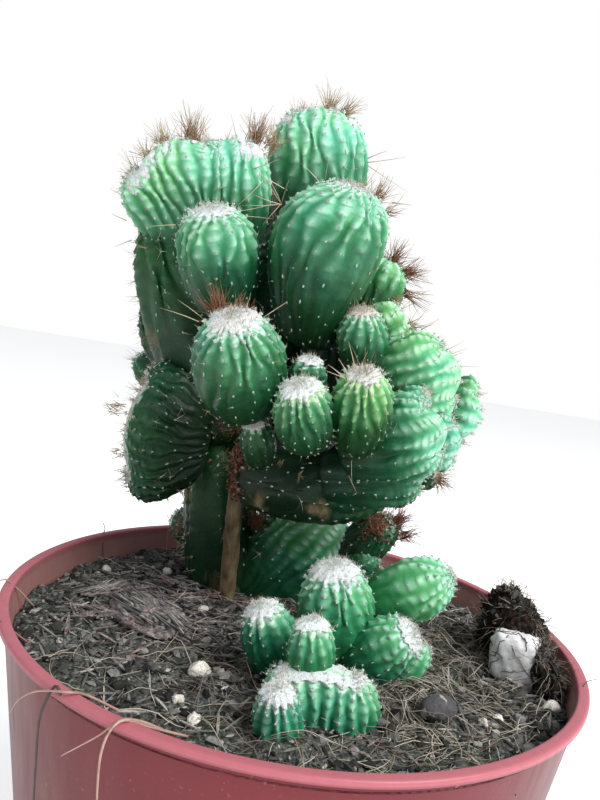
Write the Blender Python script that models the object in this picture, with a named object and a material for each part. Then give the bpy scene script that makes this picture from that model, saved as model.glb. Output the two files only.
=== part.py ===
"""A potted monstrose apple cactus, modelled in metres with +Z up.

The origin is the centre of the pot's foot, on the surface that it stands on. A tapered plastic pot
holds a fill of potting soil. Two plants stand in holes in the soil: the old stem, with the crested
fans and round heads that it has grown, and a low clump of offsets in front of it. Every head is one
ribbed surface, worked out from its root, its tip and its width, and the heads of a plant are joined
into one solid with their spines. Bark, pebbles and a peat clod lie on the soil.
"""

import copy
import math

import bmesh
import bpy
import numpy as np
from mathutils import Vector
from mathutils.bvhtree import BVHTree

MM = 0.001
UP = np.array([0.0, 0.0, 1.0])
TOWARDS_FRONT = np.array([0.0, -1.0, 0.0])
FIT_GAP = 0.35

# Driving dimensions of the pot, in millimetres. Heights count from the foot.
POT_HEIGHT = 120.0
RIM_RADIUS = 75.0
FOOT_RADIUS = 54.0
WALL = 1.3
LIP_WIDTH = 2.8
LIP_OVERHANG = 1.4
LIP_DEPTH = 1.6
LIP_ROUND = 0.5
FOOT_RING_WIDTH = 7.0
EDGE_ROUND = 1.0
FLOOR_RISE = 2.0
FLOOR_TOP = 3.6
FLOOR_ROUND = 2.0
DRAIN_RADIUS = 3.5
DRAIN_RING = 33.0
DRAIN_COUNT = 8
DRAIN_SIDES = 12
POT_SIDES = 40

# The soil's surface, in millimetres below the rim, and its lumps.
SOIL_DROP = 8.0
SOIL_MOUND = 2.2
MOUND_REACH = 45.0
LUMP_HEIGHT = 0.45
SOIL_RINGS = 7
RINGS_CLOSE_UP = 0.8
SOIL_EDGE_GAP = 0.15
SOCKET_SIDES = 12
SOCKET_ROWS = 4
SOCKET_CLEARANCE = 1.4

# A head's surface. Ribs rise from a share of their depth at the root to all of it between two heights.
DOME_SHARE = 0.55
DOME_POWER = 0.9
RIB_POWER = 0.8
RIB_MEAN = 0.6
ROOT_RIB = 0.35
RIBS_START = 0.2
RIBS_FULL = 0.7
CREST_FULL = 0.9
CREST_POWER = 0.8
ARCH_POWER = 1.5
ROOT_CAP = 0.3
UNEVEN = 0.35

# Needles, in millimetres, and the share of a plant's faces that is kept when its heads are joined.
NEEDLE_RADIUS = 0.28
NEEDLE_SINK = 1.1
NEEDLE_SPREAD = 0.2
SHORTEST_NEEDLE = 1.6
LOWEST_NEEDLE = -4.5
GOLDEN_SHARE = 0.618034
KEPT_FACES = 0.6

# Where on a head its needles stand, as shares of the way up, how far they lean towards the tip and
# their lengths as shares of the head's own: first those round the tip, then those on its sides.
TIP_NEEDLES = {"climb": (0.84, 0.95), "lean": 0.8, "length": (0.7, 1.25)}
SIDE_NEEDLES = {"climb": (0.5, 0.8), "lean": 0.2, "length": (0.35, 0.6)}

# Edges that turn by more than these angles, in degrees, stay sharp.
SHARP_FLESH = 40
SHARP_POT = 35
SHARP_GROUND = 55

# A chip of bark: points round it, how far they stray from an oval, its edge from the underside up
# as shares of its width and height, and the wave in the height of its upper flake.
BARK_SIDES = 14
BARK_RAGGED = (-0.18, 0.12)
BARK_PROFILE = [(0.94, 0), (1.0, 0.25), (0.97, 0.55), (0.8, 0.6), (0.72, 1.0)]
BARK_WAVE = 0.12

# A stone is knocked out of round by this many waves of this pace. What lies on the soil rests on the
# highest point found below it on this many bearings.
LUMP_WAVES = 5
LUMP_PACE = 4
SEAT_BEARINGS = 12

# Chips of bark, stones and the two lumps of the peat clod: place in plan, size and bearing.
BARK_CHIP = ((-37, -10), (28, 18, 3.2), -42)
BARK_FLAKE = ((-54, 5), (17, 5, 1.8), 58)
DARK_STONE = ((34.5, -33), (8.5, 7, 6), 20)
PALE_STONE = ((58.2, -5.2), (12, 8, 13), -15)
STONE_ROOM = ((58.2, -5.2), (13.4, 9.4, 14.4), -15)
CLOD = ((60.4, 11), (18, 21, 21), 15)
CLOD_SIDE = ((64.9, -5.5), (8, 18, 11), 8)

# Perlite grains on the soil, in millimetres: place in plan, width and bearing in degrees.
PERLITE = [
    (-19, -33.5, 4.6, 20),
    (-16.5, -52, 3.2, 70),
    (-21, -46.5, 2.6, 10),
    (-25, 1, 3.0, 45),
    (-59, 22, 3.4, 80),
    (-41, 27, 3.0, 15),
    (48.8, -30, 3.0, 60),
    (45, -33, 2.6, 120),
    (64, -21, 4.4, 30),
    (28, 34, 3.4, 0),
]


class Head:
    """One head, stem or crest of a plant.

    root and tip are in millimetres from the pot's axis and the rim's plane. radius is half the
    width, or half the thickness of a crest, and root_radius is the same at the root. A crest's
    growing line is 2 * crest long at the top and 2 * crest_root long at the root, and its ends
    drop by arch. rib is the depth of the ribs, wide the share of the height at which the head is
    widest, bow bends the axis sideways, rows counts the rows of faces from root to tip, spines
    counts the needles and spine is the length of those round the tip.
    """

    def __init__(self, name, root, tip, radius, root_radius, ribs, rib=0.8, crest=0.0, crest_root=0.0,
                 arch=0.0, wide=0.55, bow=(0, 0, 0), rows=6, spines=6, spine=4.0):
        self.name = name
        self.root = np.array(root, float)
        self.tip = np.array(tip, float)
        self.radius = radius
        self.root_radius = root_radius
        self.ribs = ribs
        self.rib = rib
        self.crest = crest
        self.crest_root = crest_root
        self.arch = arch
        self.wide = wide
        self.bow = np.array(bow, float)
        self.rows = rows
        self.spines = spines
        self.spine = spine
        axis = self.tip - self.root
        self.axis = axis / np.linalg.norm(axis)
        front = TOWARDS_FRONT - (TOWARDS_FRONT @ self.axis) * self.axis
        self.front = front / np.linalg.norm(front)
        self.side = np.cross(self.front, self.axis)


OLD_STEM = [
    Head("trunk", (-17, 30, -36), (-35, 24, 50), 11.5, 10, 11, rib=0.9, wide=0.35, rows=3, spines=4),
    Head("upper_stem", (-28, 24, 37), (-53, 11, 104), 12.5, 9, 13, rib=1.1, wide=0.6, bow=(-3, 0, 0),
         rows=5, spines=12),
    Head("middle_stem", (-20, 22, 36), (-18, 28, 114), 12, 9, 10, rib=0.9, wide=0.6, rows=3, spines=4),
    Head("right_stem", (-14, 18, 26), (13, 16, 77), 9.5, 9, 10, rib=0.9, wide=0.6, rows=3, spines=4),
    Head("inner_stem", (-8, 14, 34), (0, 10, 84), 7, 8, 9, wide=0.6, rows=3, spines=2),
    Head("crown_fan", (-38, 12, 88), (-54, 5, 118), 9, 6, 26, rib=1.1, crest=9.5, crest_root=2, arch=4,
         rows=5, spines=16, spine=8),
    Head("crown_lobe", (-31, 11, 88), (-36, 4, 121), 6.8, 4.5, 15, rib=1.0, crest=3.5, crest_root=0.5,
         arch=1, rows=5, spines=9, spine=9),
    Head("top_head", (-11, 26, 98), (-16, 18, 137), 12, 9, 20, rib=0.9, crest=3, crest_root=1, arch=1,
         rows=6, spines=14, spine=8),
    Head("great_head", (-8.5, 6, 69), (-2, -5, 111.3), 14.2, 6.5, 20, wide=0.67, bow=(-2.6, -1, 0), rows=7,
         spines=13, spine=8),
    Head("left_head", (-31, 4, 74), (-36, -10, 100), 10.6, 6, 18, rib=0.7, wide=0.6, rows=6, spines=7),
    Head("front_head", (-20, -12, 50), (-24, -28, 74), 11, 6, 20, wide=0.5, rows=6, spines=13, spine=8),
    Head("little_head", (-6, -10, 55), (-6, -14, 67), 4.8, 3, 9, rib=0.5, rows=4, spines=3, spine=2),
    Head("ball_left", (-3, -16, 45), (-7, -28, 61), 7.1, 4.5, 16, wide=0.5, rows=5, spines=4, spine=3),
    Head("ball_right", (9, -12, 46), (7, -26, 66), 7.3, 4.5, 15, rib=0.9, rows=5, spines=9, spine=7),
    Head("low_bud", (-14, -8, 37), (-17, -16, 49), 4.4, 2.5, 9, rib=0.5, rows=4, spines=3, spine=3),
    Head("spiny_head", (7, 13, 78), (10.5, 14, 97), 7.2, 6, 12, rows=4, spines=13, spine=9),
    Head("side_ridge", (6, 12, 72), (17, 8, 82), 5.5, 4, 10, rib=0.9, crest=3, crest_root=2,
         rows=4, spines=4, spine=6),
    Head("woolly_bud", (8, 2, 64), (5, -6, 81), 6.6, 4, 14, rib=0.6, rows=4, spines=4, spine=3),
    Head("small_bud", (14, 8, 66), (17, 6, 77), 4.4, 3, 8, rib=0.5, rows=4, spines=4, spine=5),
    Head("right_crest", (11, 2, 61), (32, -4, 70), 6.3, 5, 17, rib=1.0, crest=6.2, crest_root=3, arch=3,
         rows=5, spines=6, spine=6),
    Head("far_crest", (28, 8, 59), (41, 4, 57), 5, 4, 16, crest=6, crest_root=3, arch=3,
         rows=4, spines=4, spine=5),
    Head("crest_knob", (17, -3, 55), (24, -9, 63), 4.2, 3.5, 8, rib=0.5, rows=3, spines=2, spine=5),
    Head("mid_crest", (5, -4, 44), (29, -15, 55.5), 6.4, 6, 15, rib=1.1, crest=5.2, crest_root=3, arch=3,
         rows=5, spines=6),
    Head("end_knobs", (20, 0, 49), (35, -5, 52), 4.6, 4, 12, rib=0.7, crest=4.5, crest_root=3, arch=2,
         rows=4, spines=4, spine=5),
    Head("low_lobe", (1, 0, 36), (27, -9, 41.5), 6.6, 6.5, 12, rib=1.0, crest=1.5, crest_root=1, arch=1,
         rows=4, spines=6, spine=5),
    Head("brown_bud", (22, 2, 40), (31, -5, 42), 3.6, 3.2, 8, rib=0.5, rows=3, spines=5, spine=6),
    Head("arm", (-22, 10, 31), (22, 0, 38), 10, 8, 13, rib=0.9, bow=(0, 0, -2.5), rows=4, spines=6),
    Head("left_crest", (-32, 14, 39), (-54, 4, 40), 9, 6, 28, rib=1.0, crest=12.3, crest_root=5, arch=3,
         rows=5, spines=10, spine=5),
    Head("back_stem", (-42, 28, 50), (-56, 22, 78), 8.5, 7, 10, rows=4, spines=6),
    Head("back_bud", (-45, 32, 49), (-61, 30, 58), 5.5, 4, 9, rib=0.6, rows=3, spines=4, spine=3),
    Head("foot_bud", (-28, 38, 2), (-44, 40, 8), 6.6, 4, 11, rib=0.7, rows=4, spines=4, spine=3),
    Head("cork_ridge", (-20, 15, -13), (-22, 9, 33), 2.4, 2.2, 5, rib=0.5, rows=4, spines=0),
    Head("low_fan", (-14, 28, -14), (9, 20, 21), 8, 9, 24, rib=0.7, crest=9, crest_root=6, arch=3,
         rows=5, spines=7),
    Head("low_fan_head", (10, 21, 6), (24, 16, 24), 6.5, 5, 12, rib=0.7, rows=4, spines=10, spine=8),
    Head("low_knob", (8, 19, 2), (21, 14, 13), 5.5, 4, 9, rib=0.6, rows=3, spines=3, spine=3),
    Head("rear_great", (-14, 26, 66), (-10, 50, 101), 13, 8, 17, wide=0.6, rows=5, spines=9, spine=8),
    Head("rear_left", (-32, 26, 56), (-47, 46, 82), 11, 7, 15, rib=0.7, wide=0.6, rows=5, spines=7, spine=7),
    Head("rear_right", (1, 24, 50), (18, 42, 75), 10, 7, 14, rows=4, spines=6, spine=6),
    Head("rear_crest", (-22, 30, 30), (-28, 55, 48), 8.5, 7, 22, rib=0.9, crest=11, crest_root=5, arch=4,
         rows=5, spines=9, spine=5),
    Head("rear_ball", (-2, 28, 27), (8, 48, 43), 8.5, 6, 14, rib=0.7, rows=4, spines=4),
    Head("rear_low", (-14, 32, 2), (-5, 50, 16), 8, 5.5, 13, rib=0.7, rows=4, spines=4),
    Head("rear_top", (-20, 30, 92), (-31, 41, 116), 9, 7, 14, rows=5, spines=7, spine=7),
]

OFFSETS = [
    Head("clump_root", (7, -52, -21), (14, -6, -15), 6.5, 5, 8, rib=0.4, rows=3, spines=0),
    Head("ball", (13, -11, -12), (8, -17, 18.5), 9.4, 7.5, 17, rib=0.7, rows=6, spines=7, spine=2.5),
    Head("egg", (15, -4, 2), (38, -8, 17.8), 8, 6, 13, rib=0.6, wide=0.6, rows=6, spines=9, spine=3),
    Head("side_ball", (14, -16, -8), (28.6, -23, 7), 7.2, 6, 14, rib=0.7, rows=6, spines=6, spine=3),
    Head("side_knob", (24, -15, -13), (33, -17, 2), 4.6, 4, 8, rib=0.4, rows=4, spines=2, spine=2),
    Head("left_ball", (1, -24, -11), (-8, -31, 10.3), 6.4, 4.2, 12, rows=5, spines=6, spine=4),
    Head("bead", (6, -39, -5), (4, -40, 12.8), 5.1, 2.6, 12, rib=0.5, rows=5, spines=4, spine=2.5),
    Head("front_crest", (9, -38, -20), (7.5, -43.5, 3.8), 6.4, 5.5, 22, rib=0.9, crest=6.5, crest_root=5, arch=1,
         rows=5, spines=6, spine=2.5),
    Head("crest_ball", (2, -44, -20), (-1, -53, 3.2), 5, 4, 12, rib=0.7, rows=5, spines=4, spine=3),
    Head("crest_end", (13, -38, -18), (16, -41.5, 1.6), 4.4, 4, 9, rib=0.5, rows=4, spines=3, spine=2),
]


def uneven(points):
    """A gentle swelling between -1 and 1 that changes over a centimetre or two, as grown flesh does."""
    x, y, z = points[..., 0], points[..., 1], points[..., 2]
    first = np.sin(0.31 * x + 0.17 * z + 1.3) * np.sin(0.29 * y - 0.21 * z + 0.4)
    second = np.sin(0.53 * z + 0.37 * x - 0.8) * np.sin(0.47 * x - 0.41 * y + 2.1)
    return 0.6 * first + 0.4 * second


def outline(head, share):
    """Where a share of the way round the head lies on its crest line, from -1 to 1, and on its bends.

    The outline is a stadium: two half turns joined by straights as long as the crest line, which is
    a plain circle when there is no crest. It is walked at an even pace, so the ribs are evenly spaced.
    """
    bend = math.pi * head.radius
    straight = 2 * head.crest
    walked = (np.asarray(share) * 2 * (bend + straight) + bend / 2) % (2 * (bend + straight))
    on_second = walked >= bend + straight
    walked = np.where(on_second, walked - bend - straight, walked)
    sign = np.where(on_second, -1.0, 1.0)
    on_bend = walked < bend
    along = np.where(on_bend, 1.0, 1 - 2 * (walked - bend) / max(straight, 1e-6))
    angle = np.where(on_bend, -math.pi / 2 + math.pi * walked / bend, math.pi / 2)
    return sign * along, sign * np.cos(angle), sign * np.sin(angle)


def head_points(head, share, climb, swell=0.0):
    """Points on a head, for shares of the way round and of the way up, which broadcast together.

    The lower part widens from the root to the widest place, and the upper part is a dome. Ribs are
    round ridges with sharp valleys between them, and fade out at the root and at the very tip.
    """
    share, climb = np.broadcast_arrays(share, climb)
    low = 1 - DOME_SHARE
    turn = np.clip((climb - low) / DOME_SHARE, 0, 1) * math.pi / 2
    rise = np.where(climb < low, climb / low * head.wide, head.wide + (1 - head.wide) * np.sin(turn))
    taper = np.sin(np.clip(rise / head.wide, 0, 1) * math.pi / 2)
    body = head.root_radius + (head.radius - head.root_radius) * taper
    radius = np.where(climb < low, body, head.radius * np.maximum(np.cos(turn), 0) ** DOME_POWER)
    grown = np.clip((rise - RIBS_START) / (RIBS_FULL - RIBS_START), 0, 1)
    fade = np.clip(radius / head.radius, 0, 1) * (ROOT_RIB + (1 - ROOT_RIB) * grown)
    ridge = np.abs(np.cos(share * head.ribs * math.pi)) ** RIB_POWER - RIB_MEAN
    along, across, outward = outline(head, share)
    reach = radius + head.rib * ridge * fade + swell
    widened = np.minimum(rise / CREST_FULL, 1) ** CREST_POWER
    half = head.crest_root + (head.crest - head.crest_root) * widened
    drop = head.arch * along**2 * rise**ARCH_POWER
    middle = head.root + rise[..., None] * (head.tip - head.root)
    points = middle + (4 * rise * (1 - rise))[..., None] * head.bow
    points = points + (reach * across + half * along)[..., None] * head.side
    points = points + (reach * outward)[..., None] * head.front - drop[..., None] * head.axis
    spread = (points - middle) / head.radius
    return points + spread * (UNEVEN * uneven(points) * fade)[..., None]


def mesh_object(name, points, faces, finish=None):
    """An object whose mesh holds these points, given in millimetres from the pot's foot."""
    mesh = bpy.data.meshes.new(name)
    mesh.from_pydata((np.asarray(points) * MM).tolist(), [], [list(map(int, face)) for face in faces])
    if finish:
        mesh.materials.append(finish)
    made = bpy.data.objects.new(name, mesh)
    bpy.context.scene.collection.objects.link(made)
    return made


def tidy_normals(made):
    """Merges points that coincide and turns every face outwards."""
    shape = bmesh.new()
    shape.from_mesh(made.data)
    bmesh.ops.remove_doubles(shape, verts=shape.verts, dist=0.02 * MM)
    bmesh.ops.dissolve_degenerate(shape, edges=shape.edges, dist=0.01 * MM)
    bmesh.ops.recalc_face_normals(shape, faces=shape.faces)
    shape.to_mesh(made.data)
    shape.free()


def smooth(made, sharp_from):
    """Shades an object smooth, apart from edges that turn by more than an angle in degrees."""
    made.data.shade_smooth()
    made.data.set_sharp_from_angle(angle=math.radians(sharp_from))


def grid_faces(rings, sides):
    """Quads between successive closed rings of points."""
    ring, side = np.meshgrid(np.arange(rings - 1), np.arange(sides), indexing="ij")
    following = (side + 1) % sides
    low, high = ring * sides, (ring + 1) * sides
    return np.stack([low + side, low + following, high + following, high + side], -1).reshape(-1, 4).tolist()


def head_surface(name, head, sides, rows, swell=0.0):
    """A head as a closed object, with this many points around it and rows up it."""
    climbs = np.linspace(0, 1, rows + 1)
    share = np.arange(sides) / sides
    points = head_points(head, share[None, :], climbs[:, None], swell) + UP * POT_HEIGHT
    points[-1] += head.axis * swell
    hub = points[0].mean(axis=0) - head.axis * (ROOT_CAP * head.root_radius + swell)
    points = np.concatenate([points.reshape(-1, 3), hub[None]])
    faces = grid_faces(rows + 1, sides)
    faces += [[(side + 1) % sides, side, len(points) - 1] for side in range(sides)]
    faces.append([rows * sides + side for side in range(sides)])
    made = mesh_object(name, points, faces)
    tidy_normals(made)
    return made


def ribbed_head(head):
    """A head with a point on each rib and in each valley, row by row up to its tip."""
    return head_surface(head.name, head, 2 * head.ribs, head.rows)


def socket(head):
    """The plain hole in the soil that a head stands in: its own form without ribs, a little larger."""
    smoothed = copy.copy(head)
    smoothed.rib = 0
    return head_surface(head.name + "_hole", smoothed, SOCKET_SIDES, SOCKET_ROWS, SOCKET_CLEARANCE)


def needle_at(name, start, direction, length):
    """A needle: a three-sided pyramid whose base is sunk in the flesh."""
    across = np.cross(direction, UP if abs(direction @ UP) < 0.9 else TOWARDS_FRONT)
    across /= np.linalg.norm(across)
    other = np.cross(direction, across)
    turns = 2 * math.pi * np.arange(3) / 3
    ring = start - direction * NEEDLE_SINK
    ring = ring + NEEDLE_RADIUS * (np.cos(turns)[:, None] * across + np.sin(turns)[:, None] * other)
    points = np.concatenate([ring, (start + direction * length)[None]]) + UP * POT_HEIGHT
    return mesh_object(name, points, [[0, 1, 3], [1, 2, 3], [2, 0, 3], [2, 1, 0]])


def needles_of(head, draw):
    """Needles on the ribs of one head: long ones lean out round its tip, and short ones stand below."""
    made = []
    for number in range(head.spines):
        kind = TIP_NEEDLES if number % 3 else SIDE_NEEDLES
        share = round(number * GOLDEN_SHARE % 1 * head.ribs) % head.ribs / head.ribs
        climb = draw.uniform(*kind["climb"])
        start = head_points(head, share, climb)
        outward = start - head_points(head, share, climb, swell=-1.0)
        direction = outward / np.linalg.norm(outward) + draw.normal(0, NEEDLE_SPREAD, 3)
        direction += kind["lean"] * head.axis
        direction /= np.linalg.norm(direction)
        length = max(head.spine * draw.uniform(*kind["length"]), SHORTEST_NEEDLE)
        end = start + direction * length
        if min(start[2], end[2]) > LOWEST_NEEDLE and np.hypot(end[0], end[1]) < RIM_RADIUS - 1:
            made.append(needle_at(f"{head.name}_needle_{number}", start, direction, length))
    return made


def keep_outer_skin(mesh):
    """Keeps only the connected surface with the most points, which fills the hollows sealed inside it."""
    shape = bmesh.new()
    shape.from_mesh(mesh)
    bmesh.ops.triangulate(shape, faces=shape.faces)
    unseen = set(shape.verts)
    surfaces = []
    while unseen:
        front = [unseen.pop()]
        surface = list(front)
        while front:
            near = {edge.other_vert(vert) for vert in front for edge in vert.link_edges} & unseen
            unseen -= near
            surface += near
            front = list(near)
        surfaces.append(surface)
    surfaces.sort(key=len)
    for surface in surfaces[:-1]:
        bmesh.ops.delete(shape, geom=surface, context="VERTS")
    shape.to_mesh(mesh)
    shape.free()


def joined(name, pieces, finish):
    """The Boolean union of overlapping pieces, as one object. The pieces are used up."""
    first = pieces[0]
    group = bpy.data.collections.new(name + "_pieces")
    for piece in pieces[1:]:
        group.objects.link(piece)
    union = first.modifiers.new("union", "BOOLEAN")
    union.operation = "UNION"
    union.operand_type = "COLLECTION"
    union.collection = group
    union.solver = "MANIFOLD"
    bpy.context.view_layer.update()
    graph = bpy.context.evaluated_depsgraph_get()
    mesh = bpy.data.meshes.new_from_object(first.evaluated_get(graph))
    for piece in pieces:
        bpy.data.objects.remove(piece)
    bpy.data.collections.remove(group)
    keep_outer_skin(mesh)
    mesh.materials.clear()
    mesh.materials.append(finish)
    made = bpy.data.objects.new(name, mesh)
    bpy.context.scene.collection.objects.link(made)
    return made


def cut_away(made, cutter, solver="EXACT"):
    """Takes a cutter out of an object, then removes the cutter."""
    cut = made.modifiers.new("cut", "BOOLEAN")
    cut.operation = "DIFFERENCE"
    cut.object = cutter
    cut.solver = solver
    bpy.context.view_layer.update()
    graph = bpy.context.evaluated_depsgraph_get()
    mesh = bpy.data.meshes.new_from_object(made.evaluated_get(graph))
    made.modifiers.clear()
    made.data = mesh
    bpy.data.objects.remove(cutter)


def drop_slivers(made, kept):
    """Collapses the shortest edges, which the union leaves where heads meet, to keep a share of the faces."""
    thin = made.modifiers.new("drop_slivers", "DECIMATE")
    thin.ratio = kept
    bpy.context.view_layer.update()
    graph = bpy.context.evaluated_depsgraph_get()
    mesh = bpy.data.meshes.new_from_object(made.evaluated_get(graph))
    made.modifiers.clear()
    made.data = mesh


def plant(name, heads, finish, seed):
    """A plant: its heads and their needles, joined into one solid."""
    draw = np.random.default_rng(seed)
    flesh = joined(name + "_flesh", [ribbed_head(head) for head in heads], finish)
    drop_slivers(flesh, KEPT_FACES)
    needles = [needle for head in heads for needle in needles_of(head, draw)]
    smooth(joined(name, [flesh, *needles], finish), SHARP_FLESH)


def turned(name, profile, finish):
    """A round solid turned from an outline that starts and ends on the axis, given as (radius, height)."""
    turns = 2 * math.pi * np.arange(POT_SIDES) / POT_SIDES
    circle = np.stack([np.cos(turns), np.sin(turns)], -1)
    inner = profile[1:-1]
    rings = [np.column_stack([radius * circle, np.full(POT_SIDES, height)]) for radius, height in inner]
    points = np.concatenate(rings + [[[0, 0, profile[0][1]], [0, 0, profile[-1][1]]]])
    start, end = len(points) - 2, len(points) - 1
    last = (len(inner) - 1) * POT_SIDES
    faces = grid_faces(len(inner), POT_SIDES)
    for side in range(POT_SIDES):
        following = (side + 1) % POT_SIDES
        faces.append([following, side, start])
        faces.append([last + side, last + following, end])
    made = mesh_object(name, points, faces, finish)
    tidy_normals(made)
    return made


def wall_radius(height):
    """The outer radius of the pot's tapered wall at a height above the foot."""
    return FOOT_RADIUS + (RIM_RADIUS - LIP_OVERHANG - FOOT_RADIUS) * height / POT_HEIGHT


def pot(finish):
    """The moulded pot: a foot ring, a raised floor with drain holes, a tapered wall and a rounded lip."""
    lip_bottom = POT_HEIGHT - LIP_DEPTH
    lip_inside = RIM_RADIUS - LIP_WIDTH
    ring_inside = FOOT_RADIUS - FOOT_RING_WIDTH
    profile = [
        (0, FLOOR_RISE),
        (ring_inside - FLOOR_RISE, FLOOR_RISE),
        (ring_inside, 0),
        (FOOT_RADIUS - EDGE_ROUND, 0),
        (wall_radius(EDGE_ROUND), EDGE_ROUND),
        (wall_radius(lip_bottom), lip_bottom),
        (RIM_RADIUS - LIP_ROUND / 2, lip_bottom),
        (RIM_RADIUS, lip_bottom + LIP_ROUND / 2),
        (RIM_RADIUS, POT_HEIGHT - LIP_ROUND),
        (RIM_RADIUS - LIP_ROUND, POT_HEIGHT),
        (lip_inside + LIP_ROUND, POT_HEIGHT),
        (lip_inside, POT_HEIGHT - LIP_ROUND),
        (wall_radius(lip_bottom) - WALL, lip_bottom - LIP_ROUND),
        (wall_radius(FLOOR_TOP + FLOOR_ROUND) - WALL, FLOOR_TOP + FLOOR_ROUND),
        (wall_radius(FLOOR_TOP) - WALL - FLOOR_ROUND, FLOOR_TOP),
        (0, FLOOR_TOP),
    ]
    made = turned("pot", profile, finish)
    for number in range(DRAIN_COUNT):
        turn = 2 * math.pi * (number + 0.5) / DRAIN_COUNT
        middle = (DRAIN_RING * math.cos(turn) * MM, DRAIN_RING * math.sin(turn) * MM, FLOOR_RISE * MM)
        bpy.ops.mesh.primitive_cylinder_add(
            vertices=DRAIN_SIDES, radius=DRAIN_RADIUS * MM, depth=4 * FLOOR_TOP * MM, location=middle)
        cut_away(made, bpy.context.object)
    smooth(made, SHARP_POT)


def soil_height(x, y):
    """The height of the soil's surface over the foot: a low mound with lumps and hollows."""
    mound = SOIL_MOUND * np.exp(-(x * x + y * y) / MOUND_REACH**2)
    lumps = np.sin(0.21 * x + 1.1) * np.sin(0.19 * y - 0.6) + 0.7 * np.sin(0.37 * x - 0.31 * y + 2.0)
    return POT_HEIGHT - SOIL_DROP + mound + LUMP_HEIGHT * lumps


def soil(finish):
    """The potting soil: it fills the pot up to its lumpy surface, with a hole for each stem."""
    turns = 2 * math.pi * np.arange(POT_SIDES) / POT_SIDES
    circle = np.stack([np.cos(turns), np.sin(turns)], -1)
    bottom = FLOOR_TOP + FIT_GAP
    inside = WALL + FIT_GAP + SOIL_EDGE_GAP
    rings = [
        np.column_stack([(wall_radius(bottom) - inside - FLOOR_ROUND) * circle, np.full(POT_SIDES, bottom)]),
        np.column_stack([(wall_radius(bottom + FLOOR_ROUND) - inside) * circle,
                         np.full(POT_SIDES, bottom + FLOOR_ROUND)]),
    ]
    edge = wall_radius(POT_HEIGHT - SOIL_DROP) - inside
    for step in range(SOIL_RINGS, 0, -1):
        flat = edge * (step / SOIL_RINGS) ** RINGS_CLOSE_UP * circle
        rings.append(np.column_stack([flat, soil_height(flat[:, 0], flat[:, 1])]))
    points = np.concatenate(rings + [[[0, 0, bottom], [0, 0, float(soil_height(0, 0))]]])
    last = (len(rings) - 1) * POT_SIDES
    faces = grid_faces(len(rings), POT_SIDES)
    for side in range(POT_SIDES):
        following = (side + 1) % POT_SIDES
        faces.append([following, side, len(points) - 2])
        faces.append([last + side, last + following, len(points) - 1])
    made = mesh_object("soil", points, faces, finish)
    tidy_normals(made)
    for heads in (OLD_STEM, OFFSETS):
        buried = [head for head in heads if head.root[2] < LOWEST_NEEDLE]
        cut_away(made, joined("stem_hole", [socket(head) for head in buried], finish), "MANIFOLD")
    keep_outer_skin(made.data)
    smooth(made, SHARP_GROUND)
    return made


def seat_height(ground, x, y, reach):
    """The highest point of the soil under a piece that covers a circle round (x, y), in millimetres."""
    shape = bmesh.new()
    shape.from_mesh(ground.data)
    tree = BVHTree.FromBMesh(shape)
    shape.free()
    highest = 0.0
    for ring in (0, 0.5, 1.0):
        for bearing in range(SEAT_BEARINGS):
            angle = 2 * math.pi * bearing / SEAT_BEARINGS
            over = (x + ring * reach * math.cos(angle), y + ring * reach * math.sin(angle), 2 * POT_HEIGHT)
            hit = tree.ray_cast(Vector(over) * MM, Vector((0, 0, -1)))[0]
            highest = max(highest, hit.z / MM if hit else 0.0)
    return highest


def lump(name, ground, middle, size, turn, seed, finish, fine=2, rough=0.12, sink=0.2):
    """A stone or clod on the soil: a ball stretched to a size, knocked out of round, with a flat underside.

    middle is its place in plan, turn its bearing in degrees, rough how far it strays from round and
    sink the share of its height that the flat underside takes away.
    """
    draw = np.random.default_rng(seed)
    shape = bmesh.new()
    bmesh.ops.create_icosphere(shape, subdivisions=fine, radius=0.5)
    waves = draw.normal(0, LUMP_PACE, (LUMP_WAVES, 3))
    starts = draw.uniform(0, 2 * math.pi, LUMP_WAVES)
    c, s = math.cos(math.radians(turn)), math.sin(math.radians(turn))
    seat = seat_height(ground, middle[0], middle[1], 0.5 * max(size[0], size[1])) + FIT_GAP
    for vert in shape.verts:
        way = np.array(vert.co)
        knocked = way * (1 + rough * np.sin(waves @ way + starts).sum() / 2) * size
        knocked[2] = max(knocked[2], (sink - 0.5) * size[2])
        x, y = c * knocked[0] - s * knocked[1], s * knocked[0] + c * knocked[1]
        vert.co = Vector((middle[0] + x, middle[1] + y, seat + knocked[2] + (0.5 - sink) * size[2])) * MM
    bmesh.ops.dissolve_limit(shape, angle_limit=0.01, verts=shape.verts, edges=shape.edges)
    bmesh.ops.recalc_face_normals(shape, faces=shape.faces)
    mesh = bpy.data.meshes.new(name)
    shape.to_mesh(mesh)
    shape.free()
    mesh.materials.append(finish)
    made = bpy.data.objects.new(name, mesh)
    bpy.context.scene.collection.objects.link(made)
    smooth(made, SHARP_GROUND)
    return made


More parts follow.
